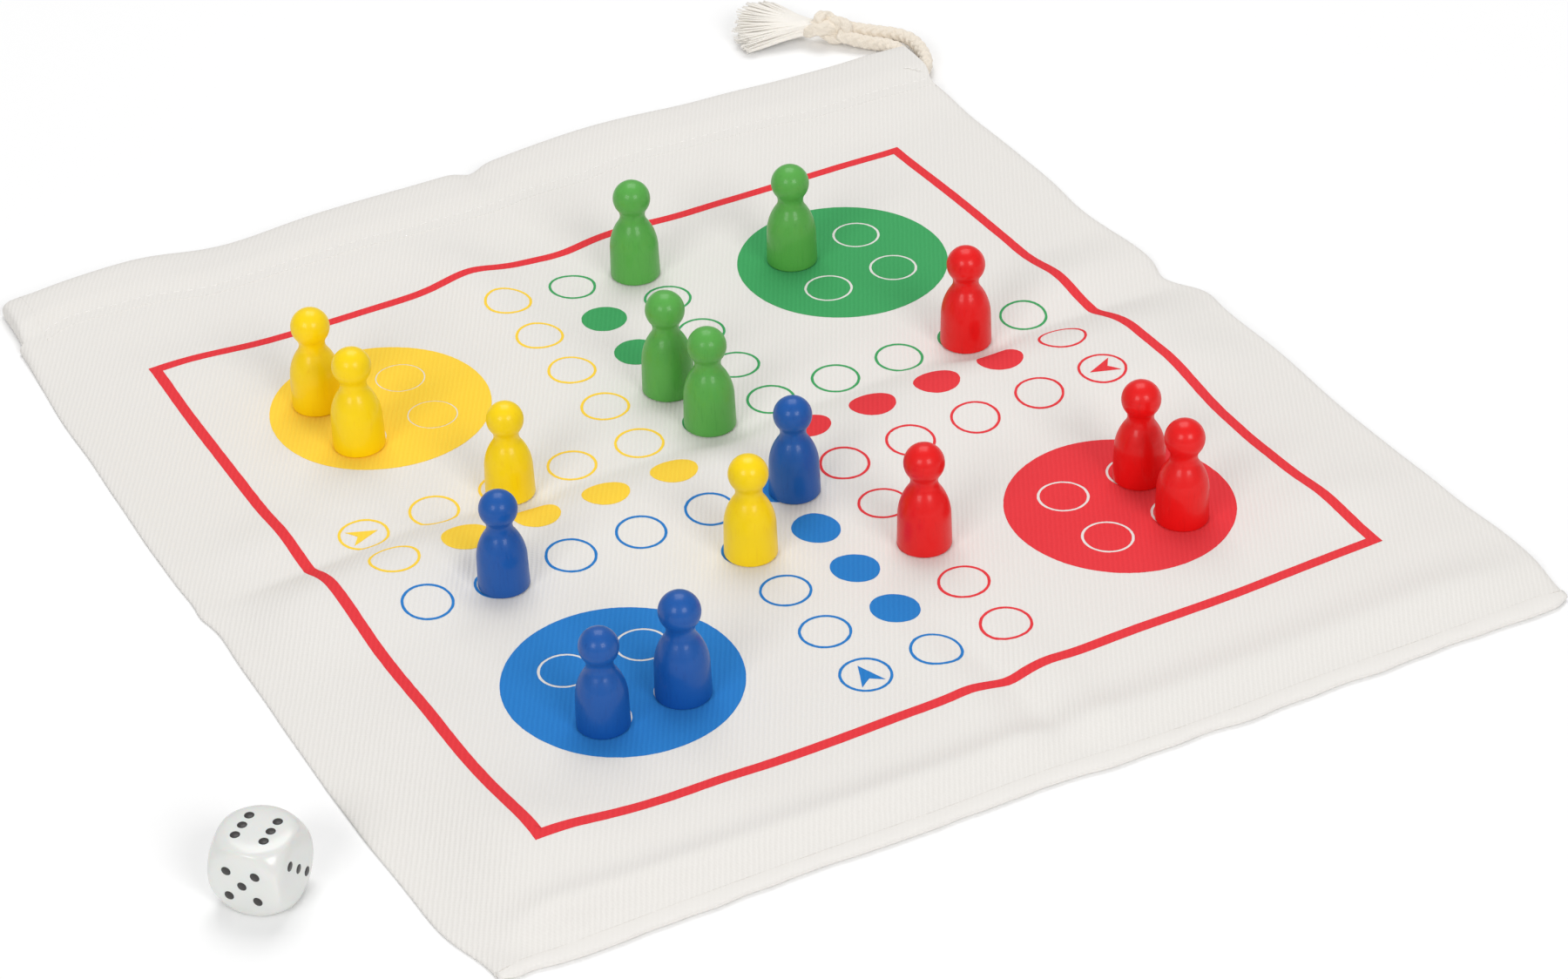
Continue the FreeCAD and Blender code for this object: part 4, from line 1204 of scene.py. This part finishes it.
@dataclass
class Drawcord:
    """The cord inside the hem, its two free strands, the knot that ties them and the tassel."""

    hem: Casing
    diameter: float = 2.8
    loose_diameter: float = 3.5
    braid_lay: float = 11.0
    ply_offset: float = 0.72
    ply_radius: float = 0.72
    ply_count: int = 3
    lay_length: float = 8.5
    corner: Point = (123.7, 126.0)
    knot_centre: Place = (112.2, 158.6, 4.6)
    knot_angle: float = 143.0
    knot_tilt: float = -20.0
    knot_reach: Place = (1.85, 1.06, 1.5)
    knot_cord: float = 3.3
    fan_angle: float = 134.0
    fan_half: float = 40.0
    thread_count: int = 230
    thread_radius: float = 0.3
    thread_steps: int = 9
    thread_length: float = 19.4
    root_reach: float = 4.6
    # the yarns of the braid, in shares of the cord's radius, and how far they rise as they cross
    yarn_middle: float = 0.55
    yarn_radius: float = 0.45
    core_radius: float = 0.9
    yarn_rise: float = 0.13
    yarn_count: int = 8
    # the knot's filled middle: places along it and shares of its radius
    heart: tuple[Point, ...] = ((-5.8, 0.6), (-2.5, 1.0), (0.0, 1.0), (2.5, 1.0), (5.8, 0.6))
    heart_radius: float = 2.0
    knot_steps: int = 132
    run_length: float = 237.0
    run_steps: int = 290
    turn_radius: float = 2.6
    turn_y: float = 133.0
    turn_z: float = 2.5
    turn_rise: float = 0.35
    turn_steps: int = 24
    body: str = "drawcord"
    slot: str = "cotton_cord"
    # the hidden runs: name, node, place along Y and height
    runs: tuple[tuple[str, str, float, float], ...] = (
        ("run_front", "drawcord_front_run", 130.4, 2.85), ("run_back", "drawcord_back_run", 135.6, 2.15))
    # the free strands' control points, from the corner along X and Y, and their heights
    upper_route: tuple[Place, ...] = (
        (-6.0, 1.6, 2.5), (-2.6, 1.9, 2.5), (0.6, 3.5, 2.5), (2.9, 6.8, 2.6), (4.4, 11.0, 2.75),
        (5.2, 15.4, 2.9), (5.0, 19.6, 2.9), (2.9, 23.2, 3.0), (-0.7, 25.9, 3.3), (-4.2, 28.0, 4.0),
        (-7.4, 30.3, 4.6), (-10.0, 32.2, 4.8))
    lower_route: tuple[Place, ...] = (
        (-8.5, 7.9, 2.15), (-4.75, 8.8, 2.1), (-1.5, 10.9, 2.0), (0.45, 14.1, 1.95),
        (0.55, 17.8, 1.95), (-1.15, 21.1, 2.0), (-4.4, 23.4, 2.3), (-7.6, 26.1, 3.0),
        (-10.2, 29.2, 3.6))

    def build(self) -> None:
        knot = self.knot()
        tassel = self.tassel()
        self.strand("strand_upper", "cord_strand_upper", self.upper_route)
        self.strand("strand_lower", "cord_strand_lower", self.lower_route)
        for name, node, y, z in self.runs:
            line = [Vector(self.hem.sway(self.hem.start + self.run_length * i / self.run_steps, y, z))
                    for i in range(self.run_steps + 1)]
            dress(self.rope(line), name, CORD, self.body, [node])
        dress(self.rope(self.turn()), "turn_left", CORD, "bag", ["drawcord_left_turn"])

    def strand(self, name: str, node: str, route: Sequence[Place]) -> None:
        """Args:
            name: The piece's name.
            node: The frame's node that it stands for.
            route: The control points of its line, from the corner.
        """
        line = self.nurbs_line(
            [Vector((self.corner[0] + x, self.corner[1] + y, z)) for x, y, z in route])
        mesh = self.braid(line, self.loose_diameter)
        piece = dress(mesh, name, CORD, self.body, [node])

    def turn(self) -> list[Vector]:
        """The line of the bend inside the hem's folded end."""
        angles = (math.pi * i / self.turn_steps for i in range(self.turn_steps + 1))
        return [Vector(self.hem.sway(self.hem.start - self.turn_radius * math.sin(a),
                                     self.turn_y - self.turn_radius * math.cos(a),
                                     self.turn_z + self.turn_rise * math.cos(a))) for a in angles]

    def nurbs_line(self, points: Sequence[Vector]) -> list[Vector]:
        """The smooth line of a route.

        Args:
            points: The route's points, in millimetres.

        Returns:
            Points along a NURBS line that the route's points control.
        """
        curve = bpy.data.curves.new("route", "CURVE")
        curve.dimensions = "3D"
        curve.resolution_u = 14
        spline = curve.splines.new("NURBS")
        spline.points.add(len(points) - 1)
        for index, point in enumerate(points):
            spline.points[index].co = (*point, 1.0)
        spline.order_u = 3
        spline.use_endpoint_u = True
        mesh = mesh_of(curve)
        line = [vert.co.copy() for vert in mesh.vertices]
        bpy.data.meshes.remove(mesh)
        return line

    def frames(self, line: Sequence[Vector]) -> Iterator[tuple[float, Vector, Vector, Vector]]:
        """Walk along a line.

        Args:
            line: The line's points.

        Yields:
            How far a point is from the start, the point and two directions across the line.
        """
        gone = 0.0
        side = Vector((0, 0, 1))
        for index, here in enumerate(line):
            ahead = (line[min(index + 1, len(line) - 1)] - line[max(index - 1, 0)]).normalized()
            side = (side - ahead * side.dot(ahead)).normalized()
            if index:
                gone += (here - line[index - 1]).length
            yield gone, here, side, ahead.cross(side)

    def braid(self, line: Sequence[Vector], diameter: float) -> Mesh:
        """A soft braid: flat yarns that cross both ways round a core, which gives its chevrons."""
        yarns: list[list[Vector]] = [[] for _ in range(self.yarn_count)]
        middle = self.yarn_middle * diameter / 2
        for gone, here, side, other in self.frames(line):
            for number, yarn in enumerate(yarns):
                hand = 1 if number % 2 else -1
                angle = hand * TURN * gone / self.braid_lay + TURN * (number // 2) / 4
                reach = middle + self.yarn_rise * hand * math.cos(4 * TURN * gone / self.braid_lay)
                yarn.append(here + reach * (math.cos(angle) * side + math.sin(angle) * other))
        core = tube_mesh([line], self.core_radius * diameter / 2, 12)
        return joined(tube_mesh(yarns, self.yarn_radius * diameter / 2, 10), core)

    def rope(self, line: Sequence[Vector]) -> Mesh:
        """A rope of twisted plies round a line, with a soft core that fills its middle."""
        plies: list[list[Vector]] = [[] for _ in range(self.ply_count)]
        for gone, here, side, other in self.frames(line):
            for number, ply in enumerate(plies):
                angle = TURN * (gone / self.lay_length + number / self.ply_count)
                ply.append(here + self.ply_offset * (math.cos(angle) * side + math.sin(angle) * other))
        core = tube_mesh([line], 0.36 * self.diameter, 12)
        return joined(tube_mesh(plies, self.ply_radius, 8), core)

    def knot(self) -> Object:
        """The overhand knot: one thick bight that passes three times over and under itself."""
        turned = (Matrix.Translation(self.knot_centre)
                  @ Matrix.Rotation(math.radians(self.knot_angle), 4, "Z")
                  @ Matrix.Rotation(math.radians(self.knot_tilt), 4, "X"))
        long, wide, deep = self.knot_reach
        bight = [turned @ Vector((long * (math.sin(t) + 2 * math.sin(2 * t)),
                                  wide * (math.cos(t) - 2 * math.cos(2 * t)),
                                  -deep * math.sin(3 * t)))
                 for t in (TURN * i / self.knot_steps for i in range(self.knot_steps))]
        middle = [turned @ Vector((x, 0, 0)) for x, _ in self.heart]
        heart = tube_mesh([middle], self.heart_radius, 18, [[share for _, share in self.heart]])
        mesh = joined(self.braid(bight + bight[:1], self.knot_cord), heart)
        for vert in mesh.vertices:
            vert.co.z = max(vert.co.z, 0.0)
        return dress(mesh, "knot", CORD, self.body, ["cord_knot"])

    def tassel(self) -> Object:
        """The cord's frayed ends: many soft threads that fan out like a brush."""
        gather = Matrix.Rotation(math.radians(self.knot_angle), 3, "Z") @ Vector((1, 0, 0))
        root = Vector(self.knot_centre) + self.root_reach * gather
        lines, tapers = [], []
        for index in range(self.thread_count):
            spread = 2 * (index + 0.5) / self.thread_count - 1
            layer = (index * 7 % 11) / 10
            jitter = ripple(index * 1.7, 0.0, 1.0, 61.0)
            angle = math.radians(self.fan_angle + self.fan_half * spread + 4.0 * jitter)
            uneven = 2.6 * ripple(index * 0.9, 0.0, 1.0, 63.0)
            length = self.thread_length + uneven - 2.0 * spread * spread
            tip = 0.5 + 6.6 * layer * (1 - 0.45 * spread * spread)
            ahead = Vector((math.cos(angle), math.sin(angle), 0))
            aside = Vector((-ahead.y, ahead.x, 0))
            line, taper = [], []
            for step in range(self.thread_steps + 1):
                t = step / self.thread_steps
                heading = (gather * 0.5 * (1 - t) ** 2 + ahead).normalized()
                curl = 1.1 * t * t * ripple(index * 0.37, t * 2.2, 1.0, 65.0)
                point = root + aside * (1.5 * spread * (1 - t) + curl) + heading * (length * t)
                start = root.z + 2.6 * (layer - 0.5)
                point.z = max(self.thread_radius, start + (tip - start) * t ** 1.2 + 0.4 * t * curl)
                line.append(point)
                taper.append(1.0 - 0.4 * t ** 3)
            lines.append(line)
            tapers.append(taper)
        mesh = tube_mesh(lines, self.thread_radius, 6, tapers)
        return dress(mesh, "tassel", TASSEL, self.body, ["cord_tassel"])


# Pawns and die


@dataclass
class Pawn:
    """One turned wooden pawn."""

    number: str
    colour: Colour
    x: float
    y: float
    base: float
    share: float = 1.0
    height: float = 25.0
    foot_radius: float = 5.9
    flare: float = 0.15
    foot_round: float = 0.45
    head_radius: float = 4.4
    neck_round: float = 3.2
    neck_angle: float = 36.0
    waist_angle: float = 35.0
    steps: int = 56

    def outline(self) -> list[Point]:
        """Half of the turned outline, from the axis at the foot to the axis at the top."""
        head_radius, neck_round, foot_radius = (
            size * self.share for size in (self.head_radius, self.neck_round, self.foot_radius))
        head_z = self.height * self.share - head_radius
        high, low = math.radians(self.neck_angle), math.radians(self.waist_angle)
        reach = head_radius + neck_round
        neck = (reach * math.cos(high), head_z - reach * math.sin(high))
        flank_x = foot_radius - self.flare
        waist = (neck[0] - neck_round * math.cos(low), neck[1] - neck_round * math.sin(low))
        shoulder = (flank_x - waist[0]) / (1 - math.cos(low))
        flank_z = waist[1] - shoulder * math.sin(low)

        def arc(x: float, z: float, radius: float, first: float, last: float, count: int) -> list[Point]:
            """Points along part of a circle, from one angle to another."""
            turn = [first + (last - first) * i / count for i in range(count + 1)]
            return [(x + radius * math.cos(a), z + radius * math.sin(a)) for a in turn]

        foot = arc(foot_radius - self.foot_round, self.foot_round, self.foot_round,
                   -math.pi / 2, 0.0, 4)
        side = [(foot_radius + (flank_x - foot_radius) * i / 4,
                 self.foot_round + (flank_z - self.foot_round) * i / 4) for i in range(1, 4)]
        body = arc(flank_x - shoulder, flank_z, shoulder, 0.0, low, 12)
        neck_line = arc(neck[0], neck[1], neck_round, math.pi + low, math.pi - high, 10)
        head = arc(0.0, head_z, head_radius, -high, math.pi / 2, 20)
        return [(0.0, 0.0)] + foot + side + body + neck_line[1:] + head[1:]

    def build(self) -> Object:
        """Turn the outline into the pawn."""
        bm = bmesh.new()
        verts = [bm.verts.new((radius, 0, z)) for radius, z in self.outline()]
        edges = [bm.edges.new(pair) for pair in zip(verts, verts[1:])]
        bmesh.ops.spin(bm, geom=verts + edges, cent=(0, 0, 0), axis=(0, 0, 1), dvec=(0, 0, 0),
                       angle=TURN, steps=self.steps, use_merge=True, use_duplicate=False)
        bmesh.ops.remove_doubles(bm, verts=bm.verts, dist=1e-4)
        bmesh.ops.recalc_face_normals(bm, faces=bm.faces)
        bmesh.ops.translate(bm, vec=(self.x, self.y, self.base), verts=bm.verts)
        word = self.colour.word
        return make_piece(bm, f"turned_pawn_{word}_{self.number}", LACQUERS[self.colour],
                          f"{word}_pawn_{self.number}",
                          [f"pawn_{word}_{self.number}"])


@dataclass
class Die:
    """A cube whose corners are cut by a ball, with painted pips."""

    side: float = 16.0
    ball_radius: float = 10.7
    softness: float = 0.55
    pip_radius: float = 1.0
    pip_step: float = 3.0
    pip_taper: float = 0.94
    pip_depth: float = 0.06
    x: float = -146.8
    y: float = -78.66
    turn: float = -49.1
    cuts: int = 44
    body: str = "loose_die"

    def place(self) -> Matrix:
        """Where the die stands and how it is turned."""
        return (Matrix.Translation((self.x, self.y, self.side / 2))
                @ Matrix.Rotation(math.radians(self.turn), 4, "Z"))

    def build(self) -> None:
        """Build the body and its pips."""
        bm = bmesh.new()
        bmesh.ops.create_cube(bm, size=self.side)
        bmesh.ops.subdivide_edges(bm, edges=bm.edges[:], cuts=self.cuts, use_grid_fill=True)
        for vert in bm.verts:
            reach = vert.co.length
            over = (reach - self.ball_radius) / self.softness
            kept = reach - self.softness * math.log1p(math.exp(min(over, 30.0)))
            vert.co *= kept / reach
        bmesh.ops.transform(bm, matrix=self.place(), verts=bm.verts)
        make_piece(bm, "die_body", DIE_WHITE, self.body, ["die"])
        self.pips()

    def pips(self) -> Object:
        """Shallow painted dots on all six faces."""
        six = [(a, b) for a in (-1, 1) for b in (-1, 0, 1)]
        four = [(a, b) for a in (-1, 1) for b in (-1, 1)]
        faces = [
            # the turn that takes the top face to its place, and its pips in steps from the middle
            (Matrix.Identity(4), six),
            (Matrix.Rotation(math.pi, 4, "X"), [(0, 0)]),
            (Matrix.Rotation(math.pi / 2, 4, "X"), four + [(0, 0)]),
            (Matrix.Rotation(-math.pi / 2, 4, "X"), [(-1, -1), (1, 1)]),
            (Matrix.Rotation(math.pi / 2, 4, "Y"), [(-1, -1), (0, 0), (1, 1)]),
            (Matrix.Rotation(-math.pi / 2, 4, "Y"), four),
        ]
        bm = bmesh.new()
        for turned, spots in faces:
            for a, b in spots:
                spot = (self.place() @ turned
                        @ Matrix.Translation((a * self.pip_step, b * self.pip_step, self.side / 2)))
                bmesh.ops.create_cone(bm, cap_ends=True, segments=32, radius1=self.pip_radius,
                                      radius2=self.pip_radius * self.pip_taper,
                                      depth=self.pip_depth, matrix=spot)
        for vert in bm.verts:
            vert.co.z = max(vert.co.z, 0.0)
        return make_piece(bm, "die_painted_pips", DIE_BLACK, self.body, ["die_pips"])


# Studio


def direction(azimuth: float, elevation: float) -> Vector:
    """The way from the board to something, in degrees round from the near side and up."""
    az, el = math.radians(azimuth), math.radians(elevation)
    return Vector((math.sin(az) * math.cos(el), -math.cos(az) * math.cos(el), math.sin(el)))


@dataclass
class Studio:
    """The plain table, soft light and the camera at the photograph's angle."""

    azimuth: float = -28.075
    elevation: float = 35.046
    roll: float = -1.776
    distance: float = 843.0
    target: Place = (2.1, -15.5, 2.1)
    lens: float = 88.93
    sensor: float = 36.0
    table_size: float = 4000.0
    room_light: float = 0.38
    # name, degrees round from the camera, degrees above the table, distance and size in metres, watts
    softboxes: tuple[tuple[str, float, float, float, float, float], ...] = (
        ("softbox_left", -32, 35, 2.4, 0.9, 14.8), ("softbox_right", 32, 35, 2.4, 0.9, 17.2),
        ("softbox_top", 180, 64, 1.9, 1.2, 15.8))

    def build(self) -> None:
        """Set up everything that isn't part of the object."""
        self.table()
        self.lights()
        self.camera()
        view = bpy.context.scene.view_settings
        view.view_transform = "Standard"
        view.look = "None"

    def axes(self) -> tuple[Vector, Vector, Vector]:
        """The camera's right, up and back directions."""
        az, roll = math.radians(self.azimuth), math.radians(self.roll)
        back = direction(self.azimuth, self.elevation)
        right = Vector((math.cos(az), math.sin(az), 0))
        up = back.cross(right)
        return (math.cos(roll) * right + math.sin(roll) * up,
                math.cos(roll) * up - math.sin(roll) * right, back)

    def camera(self) -> None:
        """Make the camera that sees what the photograph sees."""
        right, up, back = self.axes()
        data = bpy.data.cameras.new("photo_camera")
        data.lens = self.lens
        data.sensor_fit = "HORIZONTAL"
        data.sensor_width = self.sensor
        data.clip_start = 0.01
        data.clip_end = 50.0
        camera = bpy.data.objects.new("photo_camera", data)
        bpy.context.scene.collection.objects.link(camera)
        turned = Matrix((right, up, back)).transposed().to_4x4()
        spot = (Vector(self.target) + back * self.distance) * METRES_PER_MM
        camera.matrix_world = Matrix.Translation(spot) @ turned
        bpy.context.scene.camera = camera

    def table(self) -> None:
        """A wide pale surface under the object."""
        bm = bmesh.new()
        bmesh.ops.create_grid(bm, x_segments=2, y_segments=2, size=self.table_size * METRES_PER_MM)
        mesh = bpy.data.meshes.new("table")
        bm.to_mesh(mesh)
        bm.free()
        mesh.materials.append(TableFinish().material())
        table = bpy.data.objects.new("table", mesh)
        bpy.context.scene.collection.objects.link(table)

    def softbox(self, name: str, azimuth: float, elevation: float, distance: float, size: float,
                power: float) -> None:
        """Hang one square soft light that points at the board.

        Args:
            name: The light's name.
            azimuth: Degrees round from the bag's near side, as the camera's own.
            elevation: Degrees above the table.
            distance: Metres from the board.
            size: Metres along a side.
            power: Watts.
        """
        data = bpy.data.lights.new(name, "AREA")
        data.shape = "SQUARE"
        data.size = size
        data.energy = power
        light = bpy.data.objects.new(name, data)
        bpy.context.scene.collection.objects.link(light)
        towards = direction(azimuth, elevation)
        light.matrix_world = (Matrix.Translation(towards * distance)
                              @ towards.to_track_quat("Z", "Y").to_matrix().to_4x4())

    def lights(self) -> None:
        """Even white surroundings, two softboxes beside the camera and one overhead."""
        world = bpy.data.worlds.new("white_room")
        world.use_nodes = True
        background = world.node_tree.nodes["Background"].inputs
        background["Color"].default_value = (1, 1, 1, 1)
        background["Strength"].default_value = self.room_light
        bpy.context.scene.world = world
        for name, beside, *rest in self.softboxes:
            self.softbox(name, self.azimuth + beside, *rest)


def main() -> None:
    """Build the whole game in order."""
    logging.basicConfig(level=logging.INFO, format="%(message)s")
    relief = BoardRelief()
    BagShell(relief).build()
    hem = Casing(relief)
    hem.build()
    PrintedBoard(relief).build()
    Drawcord(hem).build()
    for key, (step_x, step_y, share) in PAWN_STEPS.items():
        word, number = key.split("_")
        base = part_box(f"pawn_{word}_{number}")[0].z / METRES_PER_MM
        x, y = step_x * FIELD_PITCH, step_y * FIELD_PITCH
        Pawn(number, Colour[word.upper()], x, y, base, share).build()
    Die().build()
    Studio().build()


if __name__ == "__main__":
    main()
